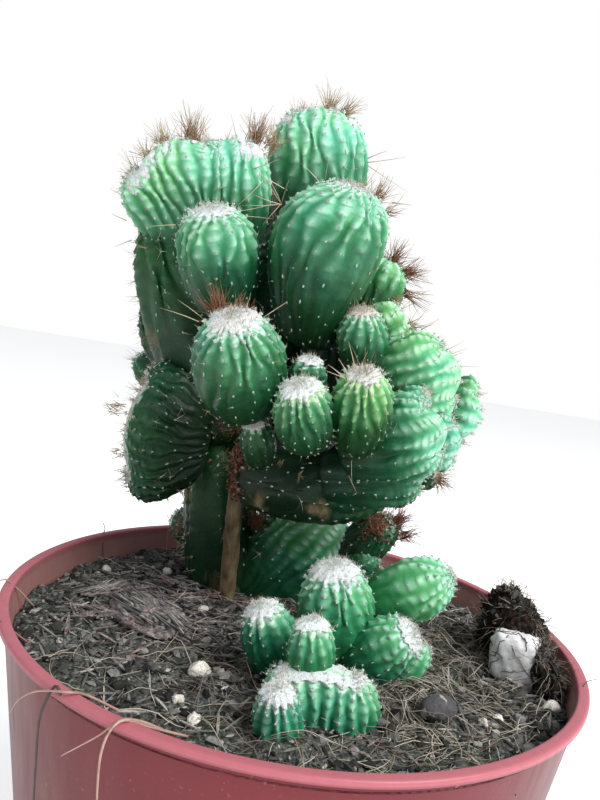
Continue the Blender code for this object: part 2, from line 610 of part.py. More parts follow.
def bark(name, ground, middle, size, turn, seed, finish):
    """A chip of bark: a slab with a ragged outline, and a second flake a little smaller on top of it."""
    draw = np.random.default_rng(seed)
    sides = BARK_SIDES
    turns = 2 * math.pi * np.arange(sides) / sides
    ragged = 1 + draw.uniform(*BARK_RAGGED, sides)
    along, across = 0.5 * size[0] * np.cos(turns) * ragged, 0.5 * size[1] * np.sin(turns) * ragged
    c, s = math.cos(math.radians(turn)), math.sin(math.radians(turn))
    seat = seat_height(ground, middle[0], middle[1], 0.4 * size[0]) + FIT_GAP
    rings = []
    for shrink, height in BARK_PROFILE:
        x, y = shrink * along, shrink * across
        wave = BARK_WAVE * np.sin(3 * turns) if height > 0.5 else np.zeros(sides)
        heights = seat + size[2] * (height + wave)
        rings.append(np.column_stack([middle[0] + c * x - s * y, middle[1] + s * x + c * y, heights]))
    faces = grid_faces(len(rings), sides)
    faces.append(list(range(sides - 1, -1, -1)))
    top = [*middle, seat + size[2]]
    points = np.concatenate(rings + [[top]])
    last = (len(rings) - 1) * sides
    faces += [[last + side, last + (side + 1) % sides, len(points) - 1] for side in range(sides)]
    made = mesh_object(name, points, faces, finish)
    tidy_normals(made)
    return made


def material(name, colour, roughness):
    """A plain finish with a colour and a roughness."""
    made = bpy.data.materials.new(name)
    made.use_nodes = True
    shader = made.node_tree.nodes["Principled BSDF"]
    shader.inputs["Base Color"].default_value = (*colour, 1)
    shader.inputs["Roughness"].default_value = roughness
    shader.inputs["Metallic"].default_value = 0
    return made


def debris(ground):
    """What lies on the soil: bark, perlite grains, small stones and the clod of old peat by the rim."""
    bark_brown = material("bark", (0.17, 0.14, 0.13), 0.9)
    bark("bark_chip", ground, *BARK_CHIP, 3, bark_brown)
    bark("bark_flake", ground, *BARK_FLAKE, 5, bark_brown)
    white = material("perlite", (0.72, 0.70, 0.64), 0.9)
    for number, (x, y, width, turn) in enumerate(PERLITE, start=1):
        lump(f"perlite_{number}", ground, (x, y), (width, 0.8 * width, 0.75 * width), turn, number, white,
             fine=2 if width > 4 else 1)
    grey = material("stone", (0.10, 0.10, 0.11), 0.8)
    lump("dark_stone", ground, *DARK_STONE, 21, grey)
    pale = material("pale_stone", (0.68, 0.67, 0.66), 0.8)
    lump("pale_stone", ground, *PALE_STONE, 31, pale, sink=0.1)
    peat = material("peat", (0.03, 0.022, 0.018), 1.0)
    high = lump("peat_clod", ground, *CLOD, 41, peat, fine=3, rough=0.2, sink=0.15)
    side = lump("clod_side", ground, *CLOD_SIDE, 42, peat, fine=2, rough=0.15, sink=0.15)
    clod = joined("peat_clod", [high, side], peat)
    cutter = lump("stone_room", ground, *STONE_ROOM, 31, pale, sink=0.1)
    cut_away(clod, cutter, "MANIFOLD")
    smooth(clod, SHARP_GROUND)


def main():
    for old in list(bpy.data.objects):
        bpy.data.objects.remove(old)
    pot(material("pot_plastic", (0.44, 0.14, 0.15), 0.4))
    ground = soil(material("potting_soil", (0.07, 0.06, 0.05), 0.95))
    plant("old_stem", OLD_STEM, material("cactus_flesh", (0.07, 0.24, 0.11), 0.5), seed=11)
    plant("offset_clump", OFFSETS, material("young_flesh", (0.09, 0.30, 0.14), 0.45), seed=12)
    debris(ground)


main()
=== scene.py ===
import math

import bpy
import numpy as np
from mathutils import Matrix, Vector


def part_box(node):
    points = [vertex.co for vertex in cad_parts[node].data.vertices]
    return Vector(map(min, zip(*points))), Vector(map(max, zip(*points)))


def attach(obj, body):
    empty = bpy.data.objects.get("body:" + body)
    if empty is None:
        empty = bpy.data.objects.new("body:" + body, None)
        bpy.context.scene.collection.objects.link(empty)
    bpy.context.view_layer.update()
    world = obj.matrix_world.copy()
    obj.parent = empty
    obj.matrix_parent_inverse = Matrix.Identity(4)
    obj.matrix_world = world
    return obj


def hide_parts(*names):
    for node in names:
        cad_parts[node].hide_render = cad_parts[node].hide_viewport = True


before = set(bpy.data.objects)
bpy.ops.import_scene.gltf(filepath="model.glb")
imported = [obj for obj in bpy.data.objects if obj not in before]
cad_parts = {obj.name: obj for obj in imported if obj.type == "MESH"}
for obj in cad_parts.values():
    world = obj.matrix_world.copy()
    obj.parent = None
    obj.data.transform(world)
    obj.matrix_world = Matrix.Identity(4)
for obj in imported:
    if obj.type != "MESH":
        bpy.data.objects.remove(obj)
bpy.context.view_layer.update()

MM = 0.001


# The pot. A thin tapered pot, injection-moulded in mauve-red plastic, with a rolled lip, a raised
# floor with eight drain holes and a ring to stand on. The wall is satin, dusty and faintly streaked.
POT_HEIGHT = 120.0
RIM_RADIUS = 75.0
FOOT_RADIUS = 54.0
WALL = 1.3
LIP_WIDTH = 2.8
LIP_OVERHANG = 1.4
LIP_DEPTH = 1.6
FOOT_RING_WIDTH = 7.0
FLOOR_RISE = 2.0
FLOOR_TOP = 3.6
DRAIN_RADIUS = 3.5
DRAIN_RING = 33.0
DRAIN_COUNT = 8
POT_SIDES = 240
AXIS_GAP = 0.02
WALL_TAPER = (RIM_RADIUS - LIP_OVERHANG - FOOT_RADIUS) / POT_HEIGHT
RIM_LEAN = 0.1
DRAIN_SIDES = 28


class Tone:
    """A socket of a material's nodes. Arithmetic on it adds Math nodes; node() adds any other."""

    def __init__(self, tree, socket=None):
        self.tree = tree
        self.socket = socket

    def node(self, kind, settings=None, sockets=None, out=0):
        """Adds a node: first its settings, a ramp's stops among them, then its sockets' values or links."""
        made = self.tree.nodes.new("ShaderNode" + kind)
        for key, value in (settings or {}).items():
            if key == "stops":
                elements = made.color_ramp.elements
                while len(elements) < len(value):
                    elements.new(0.5)
                for element, (place, colour) in zip(elements, value):
                    element.position = place
                    element.color = colour
            else:
                setattr(made, key, value)
        for key, value in (sockets or {}).items():
            if isinstance(value, Tone):
                self.tree.links.new(value.socket, made.inputs[key])
            else:
                made.inputs[key].default_value = value
        return Tone(self.tree, made.outputs[out])

    def math(self, operation, *others):
        return self.node("Math", {"operation": operation}, dict(enumerate((self, *others))))

    def __add__(self, other):
        return self.math("ADD", other)

    def __sub__(self, other):
        return self.math("SUBTRACT", other)

    def __rsub__(self, other):
        return self.math("MULTIPLY_ADD", -1.0, other)

    def __mul__(self, other):
        return self.math("MULTIPLY", other)

    def __pow__(self, other):
        return self.math("POWER", other)

    __radd__ = __add__
    __rmul__ = __mul__

    def span(self, low, high):
        """How far the value has come from low to high, kept between 0 and 1."""
        return self.node("MapRange", sockets={"Value": self, "From Min": low, "From Max": high})

    def mix(self, low, high):
        """The colour low where the value is 0, high where it is 1, and a mixture between."""
        return self.node("Mix", {"data_type": "RGBA"}, {0: self, 6: linear(low), 7: linear(high)}, out=2)

    def times(self, colour):
        """This colour multiplied by another."""
        settings = {"data_type": "RGBA", "blend_type": "MULTIPLY"}
        return self.node("Mix", settings, {0: 1.0, 6: self, 7: linear(colour)}, out=2)

    def ramp(self, *stops):
        """The colour for the value, blended between stops. Each stop is a place and its colour."""
        stops = [(place, linear(colour)) for place, colour in stops]
        return self.node("ValToRGB", {"stops": stops}, {0: self})

    def noise(self, scale, detail=3.0, stretch=(1, 1, 1)):
        """Cloudy noise on the object's own coordinates, in features per metre, stretched per axis."""
        place = self.node("Mapping", sockets={"Vector": self.node("TexCoord", out=3), "Scale": stretch})
        return self.node("TexNoise", sockets={"Vector": place, "Scale": scale, "Detail": detail})

    def place(self, axis):
        """Where on one of the object's own axes a point lies, in metres: 0 for x, 1 for y, 2 for z."""
        return self.node("SeparateXYZ", sockets={0: self.node("TexCoord", out=3)}, out=axis)

    def carried(self, name):
        """A number that the mesh carries at each of its points."""
        return self.node("Attribute", {"attribute_name": name}, out=2)

    def feed(self, socket):
        self.tree.links.new(self.socket, socket)


def linear(colour):
    """A colour given as it looks on a screen, from 0 to 255, as the shader's linear values."""
    if isinstance(colour, Tone):
        return colour
    share = np.array(colour) / 255
    values = np.where(share < 0.04045, share / 12.92, ((share + 0.055) / 1.055) ** 2.4)
    return (*values.tolist(), 1.0)


def finish(name, **uniform):
    """A material, the sockets of its shader with these values set, and a Tone to start its nodes from."""
    made = bpy.data.materials.new(name)
    made.use_nodes = True
    sockets = made.node_tree.nodes["Principled BSDF"].inputs
    for key, value in uniform.items():
        sockets[key.replace("_", " ")].default_value = value
    return made, sockets, Tone(made.node_tree)


def rough_up(start, sockets, height, depth):
    """Bumps a finish by a height between 0 and 1 times a depth in millimetres."""
    start.node("Bump", sockets={"Distance": depth * MM, "Height": height}).feed(sockets["Normal"])


def placed(name, data):
    """A new object of the scene for a mesh, a lamp or a camera."""
    made = bpy.data.objects.new(name, data)
    bpy.context.scene.collection.objects.link(made)
    return made


def tube_faces(count, rings, sides):
    """Faces of so many closed tubes, whose points are stored tube by tube and ring by ring.

    Quads join each ring to the next. An end ring is zipped shut across: the points at equal steps
    left and right of its first point are joined in pairs.
    """
    ring, side = np.meshgrid(np.arange(rings - 1), np.arange(sides), indexing="ij")
    low, high = ring * sides, (ring + 1) * sides
    after = (side + 1) % sides
    quads = [np.stack([low + side, low + after, high + after, high + side], -1).reshape(-1, 4)]
    pairs = np.array([[i, i + 1, sides - i - 1, sides - i] for i in range(1, (sides - 1) // 2)], int)
    ends = [[0, 1, sides - 1]]
    if sides % 2 == 0:
        ends.append([sides // 2 - 1, sides // 2, sides // 2 + 1])
    last = (rings - 1) * sides
    ends = np.array(ends)
    if len(pairs):
        quads += [pairs[:, ::-1], pairs + last]
    quads = np.concatenate(quads)
    corners = np.concatenate([ends[:, ::-1], ends + last])
    shift = (np.arange(count) * rings * sides)[:, None, None]
    return [(quads + shift).reshape(-1, 4), (corners + shift).reshape(-1, 3)]


def piece(name, points, faces, made, slot, node, sharp=180, **carried):
    """A piece of the object from points and lists of faces, which stands for a node of the frame.

    carried holds numbers for the points, such as how far up a head each lies, for the finish to read.
    """
    mesh = bpy.data.meshes.new(name)
    points = np.asarray(points, np.float32).reshape(-1, 3) * MM
    corners = np.concatenate([part.ravel() for part in faces]).astype(np.int32)
    sizes = np.concatenate([np.full(len(part), part.shape[1]) for part in faces])
    mesh.vertices.add(len(points))
    mesh.vertices.foreach_set("co", points.ravel())
    mesh.loops.add(len(corners))
    mesh.loops.foreach_set("vertex_index", corners)
    mesh.polygons.add(len(sizes))
    mesh.polygons.foreach_set("loop_start", (np.cumsum(sizes) - sizes).astype(np.int32))
    for key, values in carried.items():
        layer = mesh.attributes.new(key, "FLOAT", "POINT")
        layer.data.foreach_set("value", np.asarray(values, np.float32).ravel())
    mesh.update(calc_edges=True)
    mesh.shade_smooth()
    if sharp < 180:
        mesh.set_sharp_from_angle(angle=math.radians(sharp))
    mesh.materials.append(made)
    body = placed(name, mesh)
    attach(body, "root")
    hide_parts(node)
    return body


def wall_radius(height):
    """The outside radius of the pot's wall at a height: a straight taper from foot to lip."""
    return FOOT_RADIUS + WALL_TAPER * height


def rounded(corners, steps=5):
    """A profile with its corners rounded. Each corner is (radius, height, rounding).

    Between two points at the rounding's distance before and after the corner runs a quadratic curve
    that the corner pulls on.
    """
    line = []
    for index, (across, up, size) in enumerate(corners):
        here = np.array([across, up], float)
        if size == 0:
            line.append(here[None])
            continue
        before = np.array(corners[index - 1][:2], float) - here
        after = np.array(corners[index + 1][:2], float) - here
        start = here + before / np.linalg.norm(before) * size
        end = here + after / np.linalg.norm(after) * size
        way = np.linspace(0, 1, steps)[:, None]
        line.append((1 - way) ** 2 * start + 2 * way * (1 - way) * here + way**2 * end)
    return np.concatenate(line)


def round_the_axis(sides):
    """Even angles all the way round the pot's axis, and the way out from the axis at each of them."""
    turns = 2 * math.pi * np.arange(sides) / sides
    return turns, np.stack([np.cos(turns), np.sin(turns), 0 * turns], -1)


def turned(profile, sides):
    """Rings of points round the axis, one for each point of a profile of radii and heights."""
    _, outwards = round_the_axis(sides)
    return profile[:, None, :1] * outwards + profile[:, None, 1:] * np.array([0, 0, 1.0])


lip_bottom = POT_HEIGHT - LIP_DEPTH
lip_inside = RIM_RADIUS - LIP_WIDTH
ring_inside = FOOT_RADIUS - FOOT_RING_WIDTH
wall_heights = np.linspace(lip_bottom - 1.5, 8, 10)
pot_line = np.concatenate([
    rounded([(AXIS_GAP, FLOOR_TOP, 0), (wall_radius(FLOOR_TOP) - WALL, FLOOR_TOP, 2.0),
             (wall_radius(9) - WALL, 9, 0)]),
    np.column_stack([wall_radius(wall_heights[::-1]) - WALL, wall_heights[::-1]]),
    rounded([(wall_radius(lip_bottom) - WALL, lip_bottom - 1, 0), (lip_inside, lip_bottom + 0.3, 0.5),
             (lip_inside, POT_HEIGHT, 0.75), (RIM_RADIUS, POT_HEIGHT, 0.8),
             (RIM_RADIUS, lip_bottom, 0.45), (wall_radius(lip_bottom), lip_bottom, 0.4),
             (wall_radius(lip_bottom - 2), lip_bottom - 2, 0)]),
    np.column_stack([wall_radius(wall_heights), wall_heights]),
    rounded([(wall_radius(6), 6, 0), (FOOT_RADIUS, 0, 0.9), (ring_inside, 0, 0.6),
             (ring_inside - FLOOR_RISE, FLOOR_RISE, 0.6), (AXIS_GAP, FLOOR_RISE, 0)]),
])[::-1]

# The thin wall has sprung a little out of round, the more so the higher, and its rim leans in.
pot_rings = turned(pot_line, POT_SIDES)
turns, outwards = round_the_axis(POT_SIDES)
waver = 0.06 * np.sin(3 * turns + 0.7) + 0.04 * np.sin(8 * turns)
pot_rings = pot_rings + (pot_rings[..., 2:] / POT_HEIGHT) * (waver[:, None] * outwards - RIM_LEAN * outwards)

# Outside, the plastic is deep red, painted darker and greyer to the left as painted shade, and darker
# and bluer to the right. Inside the wall's middle line it is paler and browner near the rim, partly
# dust and partly painted light, and the lip is painted paler, as painted light on the rim.
plastic, sockets, start = finish("mauve_red_plastic", Roughness=0.38, Specular_IOR_Level=0.25)
cloud = start.noise(22, 4)
streak = start.noise(420, 3, (1, 1, 0.04))
x, y, z = start.place(0), start.place(1), start.place(2)
wall_middle = (FOOT_RADIUS - WALL / 2) * MM
inside = 1 - ((x * x + y * y) ** 0.5 - z * WALL_TAPER).span(wall_middle - 0.0002, wall_middle + 0.0002)
faded = z.span(0.100, 0.120) * 0.25 + cloud.span(0.35, 0.7) * 0.35
red = faded.mix((110, 32, 40), (134, 48, 58))
# To the left the plastic is painted darker and greyer: painted shade on the side away from the light.
red = x.span(-0.07, 0.0).mix(red.times((208, 192, 180)), red)
red = x.span(0.0, 0.07).mix(red, red.times((206, 200, 220)))
# Inside, from the soil up, the wall is paler and browner: partly dust, partly painted light on the inner
# wall.
red = (z.span(0.1100, 0.1125) * inside).mix(red, (150, 108, 104))
# The lip is painted paler: painted light on the rim.
red = z.span(0.1182, 0.1192).mix(red, (178, 102, 112))
dust = start.noise(900, 6).span(0.62, 0.75) * start.noise(40, 4).span(0.45, 0.65) * 0.55
red = dust.mix(red, (150, 126, 120))
(streak.span(0.3, 0.8) * 0.12).mix(red, (100, 50, 56)).feed(sockets["Base Color"])
(streak.span(0.2, 0.8) * 0.14 + dust * 0.4 + 0.31).feed(sockets["Roughness"])
rough_up(start, sockets, start.noise(1400, 4) * 0.5 + streak * 0.5, 0.05)

# The drain holes are cut by straight round drills on a ring.
pot = piece("pot_moulding", pot_rings, tube_faces(1, len(pot_line), POT_SIDES), plastic,
            "pot_plastic", "pot", sharp=50)
drill_turns = 2 * math.pi * (np.arange(DRAIN_COUNT) + 0.5) / DRAIN_COUNT
middles = np.stack([np.cos(drill_turns), np.sin(drill_turns), 0 * drill_turns], -1) * DRAIN_RING
drill = turned(np.array([[DRAIN_RADIUS, -4.0], [DRAIN_RADIUS, 12.0]]), DRAIN_SIDES) + middles[:, None, None]
drill_faces = tube_faces(DRAIN_COUNT, 2, DRAIN_SIDES)
drill_mesh = bpy.data.meshes.new("drain_drill")
drill_mesh.from_pydata((drill.reshape(-1, 3) * MM).tolist(), [],
                       drill_faces[0].tolist() + drill_faces[1].tolist())
drill_body = placed("drain_drill", drill_mesh)
cut = pot.modifiers.new("drain_holes", "BOOLEAN")
cut.operation = "DIFFERENCE"
cut.object = drill_body
cut.solver = "EXACT"
bpy.context.view_layer.update()
drilled = bpy.data.meshes.new_from_object(pot.evaluated_get(bpy.context.evaluated_depsgraph_get()))
pot.modifiers.clear()
pot.data = drilled
bpy.data.objects.remove(drill_body)


# The soil. Peat-based potting soil fills the pot to 8 mm below its rim. Its surface is a low mound of
# crumbs, splinters and dust that has greened over in places, and it fills the pot down to the floor.
SOIL_DROP = 8.0
SOIL_MOUND = 2.2
MOUND_REACH = 45.0
LUMP_HEIGHT = 0.7
SOIL_EDGE = 70.9
SOIL_SIDES = 380
SOIL_RINGS = 86
SOIL_CLEARANCE = 0.35
LATTICE = 97


def smooth_step(share):
    """From 0 to 1 with level ends: three squares less two cubes."""
    return share * share * (3 - 2 * share)


def mottle(x, y, size, seed):
    """Smooth random relief between -1 and 1.

    Random values stand on a square lattice of this size, and between its four nearest points they
    are blended by a smooth step in each direction.
    """
    values = np.random.default_rng(seed).uniform(-1, 1, (LATTICE, LATTICE))
    x, y = np.asarray(x) / size, np.asarray(y) / size
    column, row = np.floor(x).astype(int), np.floor(y).astype(int)
    u, v = smooth_step(x - column), smooth_step(y - row)
    column, row, right, above = (at % LATTICE for at in (column, row, column + 1, row + 1))
    near = values[column, row] * (1 - u) + values[right, row] * u
    far = values[column, above] * (1 - u) + values[right, above] * u
    return near * (1 - v) + far * v


def soil_height(x, y):
    """The soil's surface: a low mound, slow lumps, and three sizes of random crumbs on top of them."""
    mound = SOIL_MOUND * np.exp(-(x * x + y * y) / MOUND_REACH**2)
    lumps = np.sin(0.21 * x + 1.1) * np.sin(0.19 * y - 0.6) + 0.7 * np.sin(0.37 * x - 0.31 * y + 2.0)
    crumbs = 0.55 * mottle(x, y, 5.2, 1) + 0.4 * mottle(x, y, 2.3, 2) + 0.25 * mottle(x, y, 1.2, 3)
    return POT_HEIGHT - SOIL_DROP + mound + LUMP_HEIGHT * lumps + crumbs


# The top runs from a ragged edge at the wall to the middle, and the sides follow the wall down.
turns, outwards = round_the_axis(SOIL_SIDES)
share = np.linspace(0.002, 1, SOIL_RINGS) ** 0.8
x, y = np.moveaxis(SOIL_EDGE * share[::-1, None, None] * outwards[:, :2], -1, 0)
top = np.stack([x, y, soil_height(x, y)], -1)
bottom = FLOOR_TOP + SOIL_CLEARANCE
under = turned(np.array([[AXIS_GAP, bottom], [wall_radius(FLOOR_TOP) - 4.2, bottom],
                         [wall_radius(6) - 1.9, 6.0], [wall_radius(100) - 1.9, 100.0]]), SOIL_SIDES)
ragged = 0.25 * mottle(20 * np.cos(turns), 20 * np.sin(turns), 1.1, 5)
soil_rings = np.concatenate([under, top])
soil_rings[4:8, :, :2] *= (1 + ragged / SOIL_EDGE)[None, :, None]

earth, sockets, start = finish("peaty_soil", Roughness=0.95, Specular_IOR_Level=0.25)
grain = start.noise(1500, 6) * 0.6 + start.noise(700, 5, (1, 0.35, 1)) * 0.4
brown = grain.ramp((0.30, (20, 20, 19)), (0.45, (52, 54, 51)), (0.56, (92, 95, 91)), (0.68, (146, 146, 143)))
greened = start.noise(60, 3).span(0.5, 0.66) * 0.5
greened.mix(brown, brown.times((200, 226, 190))).feed(sockets["Base Color"])
rough_up(start, sockets, grain, 0.7)
piece("soil_fill", soil_rings, tube_faces(1, len(soil_rings), SOIL_SIDES), earth, "soil", "soil")


# Crumbs and splinters of peat, bark and dead root lie all over the soil. They are what the eye reads
# as its texture, so each is a small solid of its own, a few of them pale.
CRUMBS = 4300
SPLINTERS = 1500
LUMP_RINGS = 3
LUMP_SIDES = 5
SLIVER_STEPS = np.array([-1.0, -0.4, 0.5, 1.0])


def unit(vectors):
    """The same directions, one unit long."""
    return vectors / np.maximum(np.linalg.norm(vectors, axis=-1, keepdims=True), 1e-9)


def ball_rings(rings, sides):
    """Rings of points on a ball of radius one, from its lowest ring to its highest."""
    up = math.pi * (np.arange(rings) + 0.5) / rings
    return turned(np.column_stack([np.sin(up), -np.cos(up)]), sides)


def lumps(name, centres, frames, sizes, rough, draw, made, slot, node, tones=None, sharp=40, **carried):
    """A piece of rough ellipsoids: balls knocked in and out at random, stretched to three half sizes,
    and turned so that the last of them points along the last row of each frame.

    carried holds a number for each lump, and tones the two ends of a random tone for them.
    """
    ball = ball_rings(LUMP_RINGS, LUMP_SIDES).reshape(-1, 3)
    knocked = 1 + draw.uniform(-rough, rough, (len(centres), len(ball), 1))
    points = np.einsum("npk,nkj->npj", ball[None] * knocked * sizes[:, None, :], frames)
    if tones:
        carried["tone"] = draw.uniform(*tones, len(centres))
    piece(name, points + centres[:, None, :], tube_faces(len(centres), LUMP_RINGS, LUMP_SIDES), made,
          slot, node, sharp, **{key: np.repeat(values, len(ball)) for key, values in carried.items()})


def frames_from(normals, draw):
    """Three directions at right angles for each normal, the normal last and the others at random."""
    aside = unit(np.cross(normals, draw.normal(0, 1, normals.shape)))
    return np.stack([aside, np.cross(normals, aside), normals], 1)


def scattered(count, reach, draw):
    """Places spread evenly over a round plot: a random bearing, and the square root of a random share
    of the reach."""
    radius = reach * np.sqrt(draw.uniform(0, 1, count))
    bearing = draw.uniform(0, 2 * math.pi, count)
    return radius * np.cos(bearing), radius * np.sin(bearing)


litter, sockets, start = finish("peat_crumbs", Roughness=0.9, Specular_IOR_Level=0.3)
grain = start.noise(1100, 4)
shade = start.carried("tone").ramp((0.0, (24, 24, 23)), (0.35, (58, 59, 56)), (0.62, (98, 99, 96)),
                                   (0.86, (140, 138, 136)), (1.0, (190, 186, 180)))
(grain.span(0.3, 0.7) * 0.6).mix(shade, shade.times((120, 116, 108))).feed(sockets["Base Color"])
rough_up(start, sockets, grain, 0.25)

draw = np.random.default_rng(21)
x, y = scattered(CRUMBS, 0.99 * SOIL_EDGE, draw)
size = 0.35 + 1.5 * draw.uniform(0, 1, CRUMBS) ** 4
sizes = size[:, None] * np.stack([draw.uniform(0.8, 1.5, CRUMBS), draw.uniform(0.6, 1, CRUMBS),
                                  draw.uniform(0.3, 0.7, CRUMBS)], -1)
leaning = unit(draw.normal(0, 0.35, (CRUMBS, 3)) + np.array([0, 0, 1.0]))
lumps("soil_crumbs", np.stack([x, y, soil_height(x, y) + 0.25 * size], -1), frames_from(leaning, draw),
      sizes, 0.28, draw, litter, "soil", "soil", tones=(0, 1))


def strands(name, paths, widths, made, slot, node, sides=3, sharp=180, **carried):
    """A piece of thin closed tubes along paths: at each point of a path stands a ring, square to the
    path, whose radius is the width given there.

    carried holds a number for each path, or for each of its points.
    """
    ahead = unit(np.gradient(paths, axis=1))
    aside = unit(np.cross(ahead, np.array([0.31, 0.52, 0.79])))
    turns = 2 * math.pi * np.arange(sides) / sides
    rings = (np.cos(turns)[:, None] * aside[:, :, None]
             + np.sin(turns)[:, None] * np.cross(ahead, aside)[:, :, None])
    points = paths[:, :, None] + widths[:, :, None, None] * rings
    count, steps = widths.shape
    spread = {key: np.broadcast_to(np.reshape(values, (count, -1, 1)), (count, steps, sides))
              for key, values in carried.items()}
    piece(name, points, tube_faces(count, steps, sides), made, slot, node, sharp, **spread)


def slivers(name, middles, ways, lengths, thick, taper, made, slot, node, **carried):
    """A piece of straight four-sided slivers that reach both ways from their middles. taper gives the
    share of their thickness at each of their four steps."""
    paths = middles[:, None] + (SLIVER_STEPS[None] * lengths[:, None])[..., None] * ways[:, None]
    strands(name, paths, thick[:, None] * np.array(taper), made, slot, node, sides=4, sharp=30, **carried)


draw = np.random.default_rng(22)
x, y = scattered(SPLINTERS, 0.97 * SOIL_EDGE, draw)
lean = draw.normal(0, 0.22, SPLINTERS)
heading = draw.normal(0.5, 0.9, SPLINTERS)
length = draw.uniform(1.0, 3.4, SPLINTERS)
middles = np.stack([x, y, soil_height(x, y) + 0.35 + 0.3 * np.abs(lean) * length], -1)
slivers("soil_splinters", middles, np.stack([np.cos(heading), np.sin(heading), lean], -1), length,
        draw.uniform(0.14, 0.42, SPLINTERS), (0.35, 1.0, 0.8, 0.25), litter, "soil", "soil",
        tone=draw.uniform(0.15, 1, SPLINTERS))


# Dry roots and fibres. Pale hair roots lie on the soil in arcs, densest at the front and right, and
# stand a little proud of it. A few long ones have grown over the rim and hang down the wall.
FIBRES = 1350
FIBRE_STEPS = 9
FIBRE_REACH = 66.0
FRONT_SHARE = 0.55
ROOT_STEPS = 26


def wandering(start, heading, length, turn, steps):
    """Paths in plan that start at a place, run at a heading and turn it evenly by an angle in all."""
    headings = heading[:, None] + turn[:, None] * np.linspace(0, 1, steps)
    step = length[:, None] / (steps - 1)
    x = np.cumsum(np.cos(headings) * step, axis=1)
    y = np.cumsum(np.sin(headings) * step, axis=1)
    return start[:, None, 0] + x, start[:, None, 1] + y


draw = np.random.default_rng(23)
front = draw.uniform(0, 1, FIBRES) < FRONT_SHARE
bearing = np.where(front, draw.normal(-0.7, 0.75, FIBRES), draw.uniform(0, 2 * math.pi, FIBRES))
radius = FIBRE_REACH * np.sqrt(draw.uniform(0.04, 1, FIBRES))
start_at = np.stack([radius * np.cos(bearing), radius * np.sin(bearing)], -1)
length = draw.uniform(4, 12, FIBRES) + 18 * draw.uniform(0, 1, FIBRES) ** 3
x, y = wandering(start_at, draw.uniform(0, 2 * math.pi, FIBRES), length,
                 draw.normal(0, 0.75, FIBRES), FIBRE_STEPS)
kept = np.hypot(x, y).max(axis=1) < SOIL_EDGE - 0.4
x, y, length = x[kept], y[kept], length[kept]
count = len(x)
way = np.linspace(0, 1, FIBRE_STEPS)
arch = draw.uniform(0, 1, count)[:, None] ** 2 * 0.16 * length[:, None] * np.sin(math.pi * way)
rise = np.where(draw.uniform(0, 1, count) < 0.12, draw.uniform(1, 4, count), 0)[:, None] * way**2
z = soil_height(x, y) + 0.3 + arch + rise
z = z + 0.25 * mottle(x + z, y, 2.0, 7)
width = draw.uniform(0.045, 0.13, count)[:, None] * (1 - 0.6 * np.abs(2 * way - 1) ** 3)

straw, sockets, start = finish("dry_roots", Roughness=0.7, Specular_IOR_Level=0.3)
shade = start.carried("tone").ramp((0.0, (88, 76, 68)), (0.4, (142, 130, 116)), (0.75, (188, 178, 162)),
                                   (1.0, (222, 214, 200)))
blotch = start.noise(500, 4).span(0.35, 0.7) * 0.5
blotch.mix(shade, shade.times((172, 158, 146))).feed(sockets["Base Color"])
rough_up(start, sockets, start.noise(2500, 3), 0.05)
strands("soil_fibres", np.stack([x, y, z], -1), width, straw, "soil", "soil",
        tone=draw.uniform(0, 1, count))

# Each root over the rim: its points from the soil, over the lip and down the outside of the wall, its
# thickness, and its tone from dark, 0, to pale, 1.
RIM_ROOTS = [
    ([(-16, -58, 113), (-22, -64, 117), (-26.5, -69.5, 120.6), (-30, -71, 118), (-36, -70.5, 113)],
     0.42, 0.8),
    ([(-19, -60, 114), (-24, -66, 119), (-27, -70.8, 120.9), (-28.5, -72.6, 117), (-28.7, -71, 108),
      (-27.8, -70, 98), (-28, -68.6, 90)], 0.5, 0.85),
    ([(-30, -54, 113), (-36, -59, 118), (-38, -64.6, 121.2), (-45, -61.6, 118.6), (-50, -57, 113.5),
      (-53, -52.5, 108)], 0.45, 0.8),
    ([(-58, -34, 113.5), (-62, -38, 118.5), (-63.6, -40, 121), (-66, -39, 118), (-67.6, -36, 113)],
     0.3, 0.6),
    ([(-66, -14, 113.5), (-69.5, -17, 118.5), (-72.6, -19, 121), (-74.8, -22.6, 117), (-73.4, -26, 110)],
     0.36, 0.7),
    ([(-36, -60, 113), (-39.4, -63, 119), (-41.2, -63.3, 121), (-43, -63.6, 115), (-43.2, -62, 105),
      (-43, -60.6, 95), (-42.5, -59, 84)], 0.55, 0.0),
    ([(-62.5, 30, 113), (-64.8, 33.5, 119), (-65, 35.2, 121.3), (-66.5, 36, 123.5)], 0.35, 0.35),
    ([(-47, 50, 112.5), (-48, 52.8, 118.6), (-48.5, 55.8, 121.4), (-51, 57.6, 124)], 0.3, 0.6),
    ([(-44, 52, 112.5), (-44, 55, 117), (-43.6, 59, 121.2), (-40, 61.2, 124)], 0.3, 0.7),
    ([(30, -62, 113), (33, -65, 117), (36, -63.4, 118.6), (40, -60, 113)], 0.35, 0.75),
    ([(66, -24, 113), (69.5, -22, 116), (70.8, -20, 120.6), (74.6, -17.6, 121.4)], 0.3, 0.3),
]


def smooth_path(points, steps):
    """A path through points: between two of them, a curve whose slope at each is that of its neighbours."""
    points = np.asarray(points, float)
    ends = np.concatenate([2 * points[:1] - points[1:2], points, 2 * points[-1:] - points[-2:-1]])
    way = np.linspace(0, len(points) - 1 - 1e-6, steps)
    low = np.floor(way).astype(int)
    t = (way - low)[:, None]
    a, b, c, d = ends[low], ends[low + 1], ends[low + 2], ends[low + 3]
    return 0.5 * (2 * b + (c - a) * t + (2 * a - 5 * b + 4 * c - d) * t**2 + (3 * b - 3 * c + d - a) * t**3)


